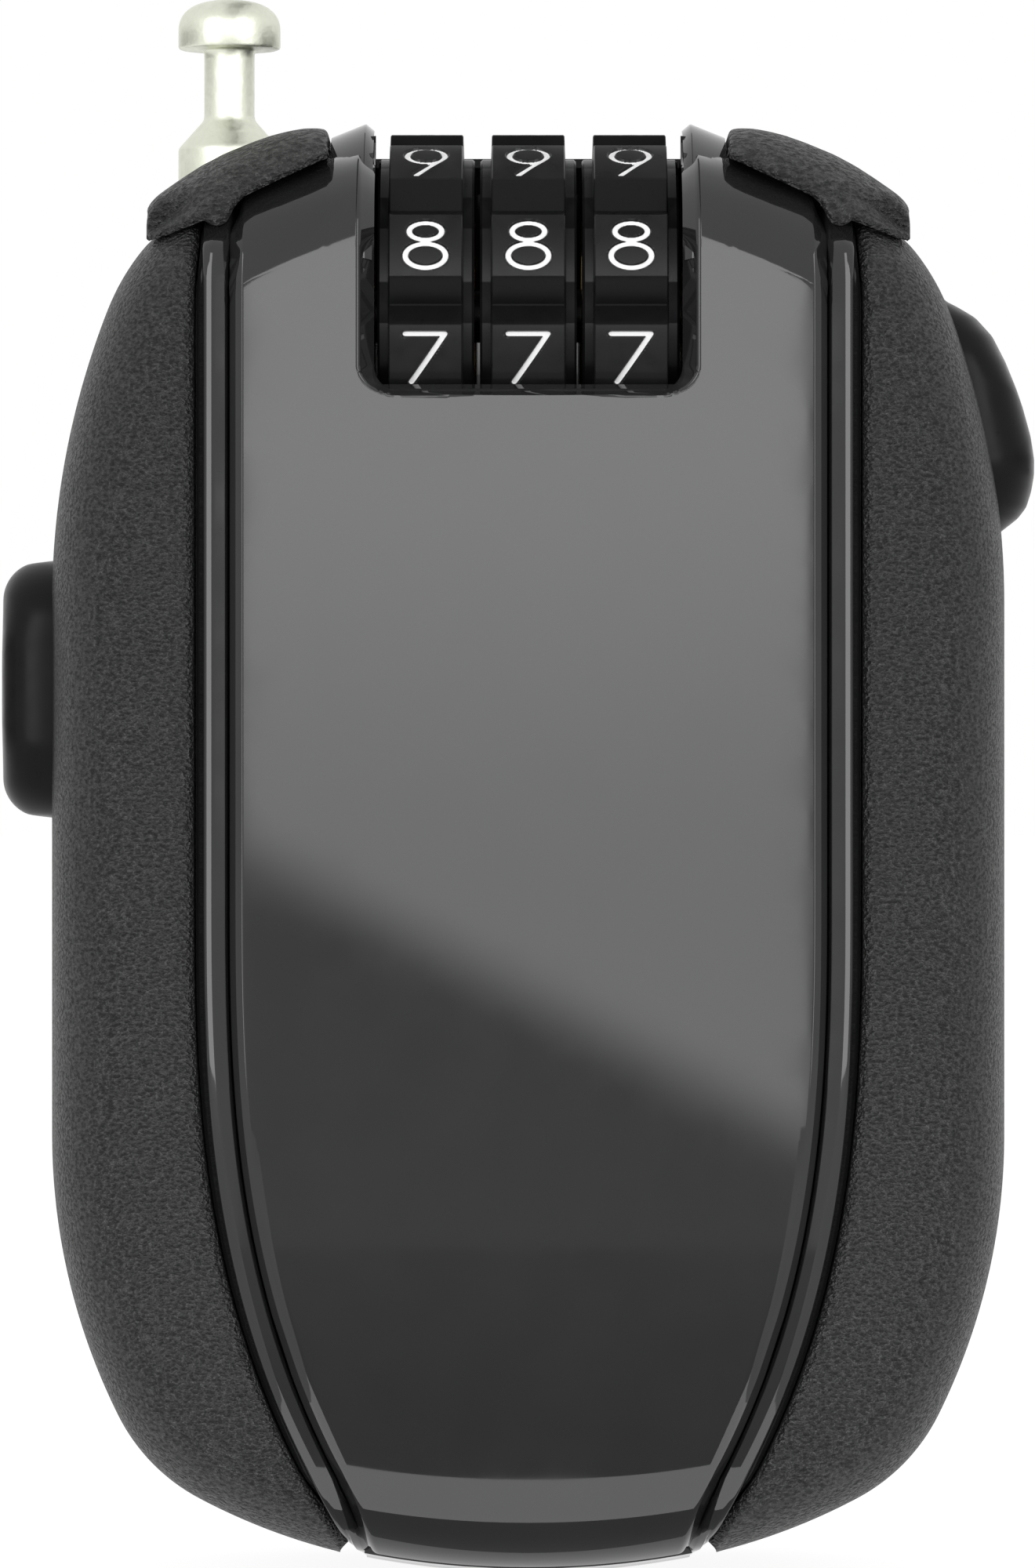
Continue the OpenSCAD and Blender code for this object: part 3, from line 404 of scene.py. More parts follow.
def join(parts):
    """Joins pieces into the first one."""
    bpy.ops.object.select_all(action="DESELECT")
    for part in parts:
        part.select_set(True)
    bpy.context.view_layer.objects.active = parts[0]
    bpy.ops.object.join()
    return parts[0]


def settle(obj, body, slot, *nodes):
    """Lets a piece ride on a body and hides the CAD nodes that it stands for; its slot argument is not used.
    """
    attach(obj, body)
    if nodes:
        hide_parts(*nodes)
    return obj


WIDEST = int(OUTLINE[:, 0].argmax())


def foot_z(x):
    """Height of the lower outline over a distance from the middle."""
    return np.interp(np.abs(x), OUTLINE[:WIDEST + 1, 0], OUTLINE[:WIDEST + 1, 1])


def crown_z(x):
    """Height of the upper outline over a distance from the middle."""
    return np.interp(np.abs(x), OUTLINE[WIDEST:, 0][::-1], OUTLINE[WIDEST:, 1][::-1])


def ease(count):
    """Numbers from 0 to 1, dense at both ends: half a cosine wave."""
    return (1 - np.cos(np.linspace(0, np.pi, count))) / 2


def fullness(y):
    """Square of a depth's share of the way from the middle plane to where the rounded edge begins."""
    return unit(np.abs(y - PART_Y) / abs(FRONT_Y + sizes().edge_round - PART_Y)) ** 2


def lift_foot(points, amount=0.45):
    """Raises the foot in front of and behind its middle, so that its underside is slightly full."""
    near = unit(1 - (points[..., 2] - foot_z(points[..., 0])) / 4)
    lifted = points.copy()
    lifted[..., 2] += amount * near * fullness(points[..., 1])
    return lifted


def wrap(front, rear, steps):
    """Sections closed into one grid: the front, a straight wall in even steps, then the rear."""
    t = np.linspace(0, 1, steps + 2)[1:-1][None, :, None]
    return np.concatenate([front, front[:, -1:] * (1 - t) + rear[:, :1] * t, rear], axis=1)


def sided(side, name, outer, core, material):
    """Closed wall on the right (side 1) or mirrored on the left (-1), with the side in front of its name."""
    flip = np.array([side, 1, 1])
    return shell(("left_" if side < 0 else "right_") + name, outer * flip, core * flip, material)


def block(low, high, material):
    """Closed box from one corner to the other."""
    corner = np.array([[x, y, z] for x in (0, 1) for y in (0, 1) for z in (0, 1)], float)
    points = np.array(low) + corner * (np.array(high) - np.array(low))
    faces = [np.array([[0, 1, 3, 2], [4, 6, 7, 5], [0, 4, 5, 1], [2, 3, 7, 6], [0, 2, 6, 4], [1, 5, 7, 3]])]
    return make_piece("stem", points, faces, material)


def prism(outline, axis, low, high):
    """Closed prism of a loop of points (a, b) along an axis."""
    rings = [np.insert(np.array(outline, float), axis, place, axis=1) for place in (low, high)]
    return loft("cutter", np.array(rings), [])


def round_box(half_a, half_b, radius, centre=(0.0, 0.0), steps=12):
    """Loop of points round a box with round corners, all at the same radius."""
    a = np.linspace(0, np.pi / 2, steps)
    corner = np.stack([np.cos(a), np.sin(a)], axis=1)
    quarter = np.array([[0, 1], [-1, 0]])
    loop = []
    for k, signs in enumerate(((1, 1), (-1, 1), (-1, -1), (1, -1))):
        middle = np.array(signs) * (half_a - radius, half_b - radius)
        loop.append(middle + radius * corner @ np.linalg.matrix_power(quarter, k))
    return np.vstack(loop) + np.array(centre)


# ------------------------------------------------------------------ cheeks and caps

def cheek(side, material):
    """Textured cheek: rows follow the outline from the foot's tip to the shoulder, and each row runs from
    the cheek's inner edge over the front, the flank and the rear. The depth is a quarter ellipse of the
    distance to the outline, and the edges are rolled by a circle's arc.
    """
    s = sizes()
    x, z = OUTLINE[:, 0], OUTLINE[:, 1]
    run = np.concatenate([[0], np.cumsum(np.linalg.norm(np.diff(OUTLINE, axis=0), axis=1))])
    start = run[np.argmax(x > cheek_edge(z) + CHEEK_GAP)]
    end = run[np.argmax((z > CHEEK_TOP_Z) & (x < HALF_WIDTH - 1))]
    at = start + (end - start) * np.concatenate([np.linspace(0, 0.99, 200), spread(0.99, 1.0, 8, 0.005)[1:]])
    at = np.concatenate([at, end + np.array(CHEEK_TAIL)])
    edge = np.stack([np.interp(at, run, v) for v in (x, z)], axis=1)
    normal = np.stack([np.interp(at, run, v) for v in OUTLINE_NORMALS.T], axis=1)
    low, high = np.zeros(len(at)), np.full(len(at), 16.0)
    for _ in range(40):
        middle = (low + high) / 2
        place = edge - middle[:, None] * normal
        outside = place[:, 0] > cheek_edge(place[:, 1])
        low, high = np.where(outside, middle, low), np.where(outside, high, middle)
    inner = edge - low[:, None] * normal
    blend = unit((edge[:, 1] - 58) / 12)
    blend = blend ** 2 * (3 - 2 * blend)
    level = edge[:, 1] + 0.46 * blend
    inner = (1 - blend[:, None]) * inner + blend[:, None] * np.stack([cheek_edge(level), level], axis=1)
    width = np.linalg.norm(inner - edge, axis=1)

    def section(thickness):
        """Closed section of every row at an inset of a wall's thickness."""
        near = np.minimum(thickness, 0.6 * width)[:, None]
        share = ease(34)[None, ::-1]
        e = near + share * (width[:, None] - near)
        place = edge[:, None] + (e / width[:, None])[..., None] * (inner - edge)[:, None]
        away = positive(edge_distance(place[..., 0], place[..., 1]))
        away = np.where(share > 0, away - near, 0)
        drop = fall(positive(away), s.edge_inset, s.edge_round)
        front = np.dstack([place[..., 0], FRONT_Y + thickness + drop, place[..., 1]])
        rear = np.dstack([place[..., 0], REAR_Y - thickness - drop, place[..., 1]])[:, ::-1]
        whole = wrap(front, rear, 11)
        outer_share = np.concatenate([1 - share, np.ones((1, 11)), 1 - share[:, ::-1]], axis=1)
        pull = 0.3 * fullness(whole[..., 1]) * outer_share
        whole[..., 0] -= pull * normal[:, :1]
        whole[..., 2] -= pull * normal[:, 1:]
        return whole

    outer, core = section(0.0), section(s.shell)
    to_end = positive(end - at)[:, None]
    drop = roll(border_distance(outer, 1), to_end, s.edge_roll) + np.where(at > end, TAIL_DROP, 0.0)[:, None]
    outer = outer - drop[..., None] * grid_normals(outer, core)
    piece = sided(side, "cheek_cover", outer, core, material)
    middle, half = (RELEASE_Z, 6.5) if side > 0 else (RETRACT_Z, 6.9)
    hole = BUTTON_HALF + HOLE_GAP
    stadium = round_box(hole, half, hole - 0.01, (0.0, middle), steps=24)
    return cut(piece, prism(stadium, 0, *sorted((20.0 * side, 32.0 * side))))


CAP_TOP = np.array([
    [10.4, 75.33], [10.9, 75.43], [11.65, 75.42], [12.36, 75.3], [13.3, 75.07], [14.35, 74.7], [15.8, 74.1],
    [17.0, 73.5], [18.0, 72.9], [19.0, 72.25], [19.5, 71.9], [19.85, 71.55], [20.06, 71.2]])
CAP_EDGE = np.array([
    [10.14, 73.96], [14.6, 71.8], [15.05, 71.35], [15.3, 70.9], [15.55, 70.35], [16.0, 70.16], [16.4, 70.25],
    [16.8, 70.5], [19.4, 69.75], [20.06, 69.65]])
CAP_X = (10.4, 20.04)
CAP_WALL, CAP_RISE, CAP_ROLL, CAP_BORE_R = 1.05, 0.14, 0.32, 3.25
INSIDE_CAP = (12.0, 0.0, 66.0)


def smooth_line(points, at, width=0.35):
    """Heights of a chain of points at places, averaged over a window so that its corners are soft."""
    near = np.linspace(-width, width, 15)
    weight = np.cos(near / width * np.pi / 2)
    return np.interp(np.add.outer(at, near), points[:, 0], points[:, 1]) @ weight / weight.sum()


def shoulder_cap(side, material):
    """Saddle over a shoulder: stations across the width, each a section from the lower edge over the front,
    the top and the rear; the depth is a quarter ellipse of the distance under the cap's outline.
    """
    s = sizes()
    x = spread(*CAP_X, 90, 0.4)
    top = smooth_line(CAP_TOP, x)
    lean = np.clip(1 / np.hypot(1, np.gradient(top, x)), 0.5, 1)
    low = smooth_line(CAP_EDGE, x, 0.12)
    share = ease(34)[None]
    z = low[:, None] + share * (top - low)[:, None]
    across = np.broadcast_to(x[:, None], z.shape)
    under = np.clip((top[:, None] - z) * lean[:, None], 0.001, None)
    beside = positive(edge_distance(across, z)) + 0.45 + 3 * unit((19.4 - across) / 4) ** 2
    e = (under ** -6 + beside ** -6) ** (-1 / 6)
    drop = fall(e, s.edge_inset + 0.6 * unit((18 - across) / 4), s.edge_round)
    front = np.dstack([across, FRONT_Y + drop, z])
    rear = np.dstack([across, REAR_Y - drop, z])[:, ::-1]
    outer = wrap(front, rear, 13)
    outer[..., 0] -= 0.25 * fullness(outer[..., 1]) * unit((outer[..., 0] - 16) / 4)
    normals = grid_normals(outer, INSIDE_CAP)
    level = unit(border_distance(outer, 1) / 1.8)[..., None]
    inward = level * normals + (1 - level) * np.sign(normals[..., 1:2]) * np.array([0, 1, 0])
    core = outer - CAP_WALL * inward / np.linalg.norm(inward, axis=-1, keepdims=True)
    rise = CAP_RISE - roll(border_distance(outer, 0), border_distance(outer, 1), CAP_ROLL)
    outer = outer + rise[..., None] * normals
    piece = sided(side, "cap", outer, core, material)
    bore = [(0.01, 60), (CAP_BORE_R, 60), (CAP_BORE_R, 90), (0.01, 90)]
    bore = turned("cutter", bore, (side * abs(PIN_X), PART_Y, 0), "z", [], 96)
    return cut(piece, bore, True)


# ------------------------------------------------------------------ spine, panel and dial chamber

BEAD_MIDDLE, BEAD_HALF = 0.434, 0.366  # shares of the channel beside the panel
CHANNEL = 1.85
CHANNEL_DEPTH = 0.6
CHEEK_SEAT = 1.9
BEAD_TOP_Z = 69.6
PANEL_SINK, PANEL_THICKNESS = 0.85, 1.22
PANEL_WINDOW = (7.94, 61.67, 1.25)  # half width, lower edge and corner radius
SIDE_BEVEL, TOP_BEVEL, WINDOW_BEVEL = (0.42, 0.64), (0.3, 0.32), (0.95, 0.81)  # depth and width
FRONT_WINDOW_Z, REAR_WINDOW_Z = 58.6, 61.6
TROUGH_R, RIM_X = (9.9, 10.5), 10.3
HAIR = 0.001  # less than the finest step of the grid


def window_loop(half, low, radius):
    """Loop of the dial window, open far above the top: (x, z) points of a box with round lower corners."""
    return round_box(half, 15.0, radius, (0.0, low + 15.0))


def spine_grid(rear):
    """Base surface of the spine's front or rear half: rows run from the seam over the top, down the face and
    round the foot to the seam, and columns are shares of the panel's half width and then of the channel's.
    """
    s = sizes()
    sign = 1 if rear else -1
    face = REAR_Y if rear else FRONT_Y
    side_y = face - sign * s.edge_round
    bead_turn = np.cos(np.linspace(np.pi, 0, 19))
    channel = np.concatenate([[0.0, 0.002, 0.035], BEAD_MIDDLE + BEAD_HALF * bead_turn,
                              [0.81, 0.86, 0.91, 0.97, 1.0, 1.02, 1.25]])
    inner = np.array([0.0, 0.2, 0.4, 0.5, 0.6, 0.7, 0.8, 0.9, 0.95, 0.985, 0.999])
    half = np.concatenate([inner, 1 + channel])
    lane = np.concatenate([-half[::-1], half[1:]])
    face_e = s.edge_inset * (1 - np.cos(np.linspace(0, np.pi / 2, 14)))
    down = np.linspace(0, 1, 122)[1:-1]
    kind = np.repeat([0, 1, 2], [len(face_e), len(down), len(face_e)])[:, None]
    value = np.concatenate([face_e, down, face_e[::-1]])[:, None]
    between = BODY_TOP - 4 - value * (BODY_TOP - 8)
    z = np.where(kind == 0, BODY_TOP - value, np.where(kind == 2, value, between))
    z = z + 0 * lane[None]
    for _ in range(6):
        share = unit(np.abs(lane))
        beyond = positive(np.abs(lane) - 1)
        x = np.sign(lane) * (share * panel_edge(z) + beyond * (cheek_edge(z) - 0.1 - panel_edge(z)))
        high, low = crown_z(x), foot_z(x)
        z = np.where(kind == 0, high - value, np.where(kind == 2, low + value,
                     high - s.edge_inset + value * (low - high + 2 * s.edge_inset)))
    away = positive(edge_distance(x, z))
    away = np.where((value == 0) & (kind != 1), 0, away)
    y = face - sign * fall(away, s.edge_inset, s.edge_round)
    grid = np.dstack([x, y, z])
    seam = np.linspace(PART_Y + sign * 0.03, side_y, 5)[:-1]
    top_rows, foot_rows = (
        np.stack([np.stack([x[row], np.full(len(lane), v), z[row]], axis=1) for v in depths])
        for row, depths in ((0, seam), (-1, seam[::-1])))
    full = lift_foot(np.concatenate([top_rows, grid, foot_rows]))
    step = unit((np.abs(lane) - 1.02) / 0.3)
    near = unit(1 - (full[..., 2] - foot_z(full[..., 0])) / 3)
    full[..., 2] += 0.9 * step * near ** 2
    return full, grid_normals(full, (0.0, PART_Y, 37.0)), lane, len(seam), away


def housing(rear, material):
    """Half of the spine: under the panel it is sunk by the panel's thickness, and beside the panel a bead
    of half round section lies in a channel that narrows towards the foot.
    """
    s = sizes()
    grid, normals, lane, seam_rows, away = spine_grid(rear)
    beyond = np.abs(lane) - 1
    wide = (cheek_edge(grid[..., 2]) - panel_edge(grid[..., 2])) / CHANNEL
    floor = np.where(beyond > 1.01, -CHEEK_SEAT, -CHANNEL_DEPTH * np.clip(wide, 0.3, 1))
    if rear:
        height = np.where(beyond > HAIR, floor, 0.0)
    else:
        offset = (beyond - BEAD_MIDDLE) / BEAD_HALF
        inner_side = unit((1 + offset) / 0.2)
        fade = unit(1 - unit(offset) ** 10) ** 0.4
        outer_side = (1 - 0.33 * unit(offset - 0.2)) * fade
        bump = np.where(np.abs(offset) < 1, np.where(offset < 0, inner_side, outer_side), 0)
        bump = bump * np.sqrt(unit((BEAD_TOP_Z - grid[..., 2]) / 0.6))
        groove = sum(deep * unit(1 - np.abs(beyond - at) / half)
                     for deep, at, half in ((0.14, 0.9, 0.1), (0.06, 0.03, 0.04)))
        bead = floor + (0.54 + 0.56 * bump) * wide
        in_bead = (np.abs(offset) <= 1 + HAIR) & (beyond > 0)
        height = np.where(beyond > HAIR, np.where(in_bead, bead, floor - groove * wide), 0.0)
        under = np.zeros(grid.shape[:2], bool)
        under[seam_rows:-seam_rows] = (away > 0.42) & (np.abs(lane)[None] <= 1.0)
        height = np.where(under, -PANEL_SINK, height)
    outer = grid + height[..., None] * normals
    core = grid - (s.shell + 0.9) * normals
    piece = shell("rear_spine" if rear else "front_spine", outer, core, material)
    y = (PART_Y - 1, 7.9) if rear else (-60, PART_Y + 1)
    window = window_loop(CHAMBER_HALF, REAR_WINDOW_Z if rear else FRONT_WINDOW_Z, WINDOW_R)
    return cut(piece, prism(window, 1, *y))


def panel(material):
    """Glossy front panel: columns are shares of its half width and rows run from its top edge to its foot.
    Its depth is a quarter ellipse of the distance to the outline, and its sides and top have a flat bevel.
    """
    s = sizes()
    edge_steps = np.array([0, 0.03, 0.32, 0.62, 0.66, 0.72])
    lane = np.concatenate([PANEL_HALF - edge_steps[::-1], np.arange(14.3, 9.0, -0.25),
                           np.arange(8.9, 6.0, -0.1), [5.0, 4.0, 2.0]])
    lane = np.sort(np.unique(lane))
    lane = np.concatenate([-lane[::-1], [0.0], lane]) / PANEL_HALF
    down = np.concatenate([[0, 0.02, 0.15, 0.3, 0.36, 0.6, 1.0, 1.5, 2.0, 2.6], np.arange(2.9, 11.4, 0.2),
                           np.arange(11.6, 14.9, 0.1), np.linspace(15.4, 62, 60),
                           68.5 + 5.5 * np.sin(np.linspace(-0.7, np.pi / 2, 22))])
    down = down / down[-1]
    top_line = np.array([[0, 75.2], [8.0, 75.2], [8.7, 75.05], [10.3, 74.4], [10.5, 74.7], [12.0, 74.1],
                         [14.18, 72.5], [14.7, 71.9], [14.95, 71.3], [15.1, 70.7], [PANEL_HALF, 69.9]])
    z = BODY_TOP * (1 - down)[:, None] + 0 * lane[None]
    for _ in range(6):
        x = lane * panel_edge(z)
        high = np.interp(np.abs(x), top_line[:, 0], top_line[:, 1])
        low = foot_z(x) + 0.45
        z = high + (low - high) * down[:, None]
    inset = np.where(z < WAIST_Z, s.panel_inset - 0.3, s.panel_inset)
    y = PANEL_Y + fall(positive(edge_distance(x, z)), inset, s.edge_round)
    smooth = lift_foot(np.dstack([x, y, z]))
    normals = grid_normals(smooth)
    normals *= -np.sign(normals[..., 1:2])
    from_side = panel_edge(z) - np.abs(x)
    from_top = high - z
    bevel = np.maximum(*(deep * unit(1 - gap / wide)
                         for gap, (deep, wide) in ((from_side, SIDE_BEVEL), (from_top, TOP_BEVEL))))
    half, bottom, corner = PANEL_WINDOW
    beside, below = np.abs(x) - (half - corner), 1.35 * (bottom + corner - z)
    away = np.hypot(positive(beside), positive(below))
    away = away + np.minimum(np.maximum(beside, below), 0) - corner
    deep, wide = WINDOW_BEVEL
    chamfer = np.clip(deep * (1 - away / wide), 0, 1.15) * unit((77 - z) / 3)
    bevel = np.maximum(bevel, chamfer)
    outer = smooth - bevel[..., None] * normals
    core = smooth - PANEL_THICKNESS * normals
    core[..., 0] = np.clip(core[..., 0], -panel_edge(z), panel_edge(z))
    piece = shell("front_plate", outer, core, material)
    return cut(piece, prism(window_loop(*PANEL_WINDOW), 1, PANEL_Y - 3, PANEL_Y + 12))


def arc_sweep(profile, centre, start, end, steps, name, material):
    """Solid from a closed (x, radius) profile swept about the dials' axis between angles above the front."""
    a = np.radians(np.linspace(start, end, steps))[:, None]
    x, radius = np.array(profile, float).T
    loops = np.stack([x + 0 * a, -radius * np.cos(a), radius * np.sin(a)], axis=-1) + np.array(centre)
    return loft(name, loops, material)


def chamber(material):
    """Trough under the dials, plates beside them and the raised rims over the top, joined into one piece."""
    centre = (0.0, PART_Y, AXLE_Z)
    half, far = CHAMBER_HALF, CHAMBER_HALF + 0.8
    low, high = TROUGH_R
    parts = [arc_sweep([(-far, low), (far, low), (far, high), (-far, high)], centre, -24, -236, 90,
                       "dial_chamber", material)]
    for side in (-1, 1):
        plate = [(2.5, side * half), (9.0, side * half), (9.0, side * far), (2.5, side * far)]
        parts.append(turned("plate", plate, centre, "x", material, 160))
        rim = [(side * half, 8.6), (side * half, 9.7), (side * (half + 0.42), 10.05),
               (side * (half + 0.5), 10.05), (side * RIM_X, 9.35), (side * RIM_X, 8.6)]
        parts.append(arc_sweep(rim, centre, 14, 166, 110, "rim", material))
    return join(parts)


# ------------------------------------------------------------------ dials

def arc(centre, half_a, half_b, start, end, steps=24):
    """Points along part of an ellipse, from one angle to another in degrees."""
    t = np.radians(np.linspace(start, end, steps))
    return np.stack([centre[0] + half_a * np.cos(t), centre[1] + half_b * np.sin(t)], axis=1)


def number_lines(digit):
    """Centre lines of a number, in millimetres about its middle, for the height NUMBER_HEIGHT."""
    nine = [arc((0.0, 0.48), 0.98, 0.78, 0, 360), np.array([[0.86, 0.1], [-0.5, -1.36]])]
    lines = {
        0: [arc((0, 0), 0.95, 1.24, 0, 360, 40)],
        1: [np.array([[-0.5, 0.85], [0.12, 1.27], [0.12, -1.36]])],
        2: [np.vstack([arc((0, 0.5), 0.88, 0.76, 170, -35), [[-0.98, -1.24], [1.0, -1.24]]])],
        3: [np.vstack([arc((-0.05, 0.62), 0.78, 0.62, 150, -90), arc((-0.05, -0.62), 0.95, 0.62, 90, -150)])],
        4: [np.array([[0.45, -1.36], [0.45, 1.27], [-1.02, -0.55], [1.0, -0.55]])],
        5: [np.vstack([[[0.82, 1.24], [-0.62, 1.24], [-0.78, 0.12]],
                       arc((-0.02, -0.42), 0.97, 0.82, 142, -150)])],
        6: [-line for line in nine],
        7: [np.array([[-1.03, 1.24], [1.0, 1.24], [-0.72, -1.34]])],
        8: [arc((0, 0.78), 0.84, 0.49, 0, 360, 36), arc((0, -0.6), 1.04, 0.66, 0, 360, 40)],
        9: nine,
    }
    return lines[digit]


def stroke_distance(u, v, digit, scale):
    """Distance from places on a plate to a number's centre lines, with heights counted larger, so that a
    level line comes out thinner than an upright one.
    """
    taller = np.array([1.0, 1.22])
    place = np.stack([np.ravel(u), np.ravel(v)], axis=1) * taller
    best = np.full(len(place), 9.0)
    for line in number_lines(digit):
        line = line * scale * taller
        a, b = line[:-1], line[1:]
        along = ((place[:, None] - a) * (b - a)).sum(-1) / np.maximum(((b - a) ** 2).sum(-1), 1e-9)
        foot = a + unit(along)[..., None] * (b - a)
        best = np.minimum(best, np.linalg.norm(place[:, None] - foot, axis=-1).min(axis=1))
    return best.reshape(np.shape(u))


DIGITS = 10
PITCH = 360 / DIGITS
PLATE_HALF = 10.5
PLATE_MIDDLE = 19.7
VALLEY_R = 8.4
FLANGE_R = 8.2
BORE_R = 5.05


def rim_loop():
    """Loop of the rim: ten plates of a circle's arc, joined by V-shaped gaps whose valley lies nearer the
    plate below. Returns angle and radius of each point, and the digit and angle within its plate (or -1).
    """
    gap = PITCH - 2 * PLATE_HALF
    inside = np.linspace(-PLATE_HALF + 0.25, PLATE_HALF - 0.25, 62)
    share = np.array([0.035, 0.2, 0.4, 0.6, 0.8, 0.965])[:, None]
    places, digit, within = [], [], []
    for k in range(DIGITS):
        middle = PLATE_MIDDLE + PITCH * (k - 8)
        a = np.radians(middle + inside)
        corners = np.array([[r * math.cos(math.radians(g)), r * math.sin(math.radians(g))] for r, g in (
            (DIAL_R, middle + PLATE_HALF), (VALLEY_R, middle + PLATE_HALF + 0.43 * gap),
            (DIAL_R, middle + PLATE_HALF + gap))])
        flanks = [first + share * (last - first) for first, last in zip(corners[:-1], corners[1:])]
        places += [DIAL_R * np.stack([np.cos(a), np.sin(a)], axis=1), *flanks]
        digit += [np.full(len(a), k), np.full(2 * len(share), -1)]
        within += [inside, np.zeros(2 * len(share))]
    y, z = np.vstack(places).T
    return np.arctan2(z, y), np.hypot(y, z), np.concatenate(digit), np.concatenate(within)


def dial(index, material):
    """Number dial: a closed section (bore, flange, plate) at every point of the rim's loop. A number sinks
    where the distance to its centre line is under half the stroke, by a smooth step. That distance is kept
    in the attribute "stroke" for the paint, and the gaps between the plates have a second attribute that
    paints shade into them in the finish.
    """
    s = sizes()
    angle, radius, digit, within = rim_loop()
    flat = np.concatenate([[-1.84, -1.6], np.arange(-1.32, 1.321, 0.055), [1.6, 1.84]])
    edge = np.array([2.5, 2.5, 2.38, 1.95, 1.9])
    x = np.concatenate([-edge, flat, edge[::-1]])
    kind = np.array([0, 1, 2, 2, 3] + [4] * len(flat) + [3, 2, 2, 1, 0])
    r = np.choose(kind[None] + 0 * digit[:, None], [
        np.full((1, 1), BORE_R), np.full((1, 1), FLANGE_R - 0.12), np.full((1, 1), FLANGE_R),
        radius[:, None] - 0.06, radius[:, None]])
    u = np.broadcast_to(x[None], r.shape)
    v = np.broadcast_to((DIAL_R * np.radians(within))[:, None], r.shape)
    away = np.full(r.shape, 1.0)
    for k in range(DIGITS):
        rows = digit == k
        away[rows] = stroke_distance(u[rows], v[rows], k, s.number_height / NUMBER_HEIGHT) - s.stroke / 2
    away[:, kind != 4] = 1.0
    step = unit((0.035 - away) / 0.09)
    r = r - s.engraving * step * step * (3 - 2 * step)
    points = np.stack([u, -r * np.cos(angle)[:, None], r * np.sin(angle)[:, None]], axis=-1)
    points = points.reshape(-1, 3) + np.array([DIAL_XS[index], PART_Y, AXLE_Z])
    faces = [grid_faces(len(angle), len(x), close_rows=True, close_columns=True)]
    obj = make_piece(f"number_dial_{index + 1}", points, faces, material, sharp=28)
    # the second attribute marks the gaps between the plates for a painted shade: the finish reflects less
    # there
    for name, values in (("stroke", away.ravel()), ("valley_shade", np.repeat(digit < 0, len(x)))):
        layer = obj.data.attributes.new(name, "FLOAT", "POINT")
        layer.data.foreach_set("value", values.astype(np.float32))
    return obj


# ------------------------------------------------------------------ pin, cable and buttons

def locking_pin(material):
    """Turned pin: domed head, neck, cone and a ferrule with a blind hole, with small rounds at its edges."""
    head, neck, cone = PIN_TOP - 2.6, PIN_TOP - 6.4, PIN_TOP - 7.8
    low, dome, neck_r, bore_r = PIN_LOW[2], 1.7, 1.32, 0.85
    profile = [(PIN_R * math.sin(a) ** 0.8, PIN_TOP - dome + dome * math.cos(a) ** 0.8)
               for a in np.linspace(0, 1.5, 30)]
    profile += [(PIN_R, head + 0.14), (PIN_R - 0.05, head + 0.04), (PIN_R - 0.14, head)]
    profile += [(1.62, head), (1.42, head - 0.08), (1.33, head - 0.25), (neck_r, head - 0.5)]
    profile += [(neck_r, neck + 0.3), (1.36, neck + 0.1), (1.45, neck - 0.05)]
    profile += [(PIN_R - 0.12, cone + 0.1), (PIN_R - 0.03, cone - 0.02), (PIN_R, cone - 0.15)]
    profile += [(PIN_R, low + 0.4), (PIN_R - 0.3, low + 0.05), (PIN_R - 0.5, low)]
    profile += [(bore_r, low), (bore_r, low + 6), (0.0, low + 6)]
    return turned("pin_and_ferrule", profile, (PIN_X, PART_Y, 0), "z", material, 160, 30)


def cable_route():
    """Points of the cable from the reel into the ferrule: listed knots, joined by straight lines,
    and the depth averaged over 21 points by a Hann window.
    """
    wind_y = LEAD_LOW[1] + 0.74  # middle of the lead where it leaves the winding
    low, high = LEAD_LOW[2], LEAD_HIGH[2]
    floor = PIN_LOW[2] - 0.1
    knots = np.array([
        [wind_y, low], [wind_y, low + 3], [wind_y + 0.3, low + 8], [PART_Y - 0.6, floor - 12],
        [PART_Y - 0.1, floor - 6], [PART_Y, floor - 3], [PART_Y, high]])
    heights = np.linspace(low, high, 160)
    y = np.interp(heights, knots[:, 1], knots[:, 0])
    kernel = np.hanning(21)
    smooth = np.convolve(np.pad(y, 10, mode="edge"), kernel / kernel.sum(), mode="valid")
    smooth[:3], smooth[-3:] = y[:3], y[-3:]
    return np.stack([np.full(len(heights), PIN_X), smooth, heights], axis=1)


def cable(material):
    """Steel rope: six strands wound round a core strand along the route, each a tube of 8 sides. A strand's
    middle circles the route once in every 9 mm.
    """
    route = cable_route()
    ahead = np.gradient(route, axis=0)
    ahead /= np.linalg.norm(ahead, axis=1, keepdims=True)
    side = np.array([1.0, 0.0, 0.0]) - ahead[:, :1] * ahead
    side /= np.linalg.norm(side, axis=1, keepdims=True)
    other = np.cross(ahead, side)
    strand = CABLE_R / 3
    around = np.linspace(0, 2 * np.pi, 8, endpoint=False)
    ring = strand * (np.cos(around)[None, :, None] * side[:, None]
                     + np.sin(around)[None, :, None] * other[:, None])
    parts = [loft("cable", route[:, None] + ring, material)]
    for k in range(6):
        t = (2 * np.pi * (route[:, 2] / CABLE_LAY + k / 6))[:, None]
        middle = route + 2 * strand * (np.cos(t) * side + np.sin(t) * other)
        parts.append(loft("strand", middle[:, None] + ring, material))
    return join(parts)


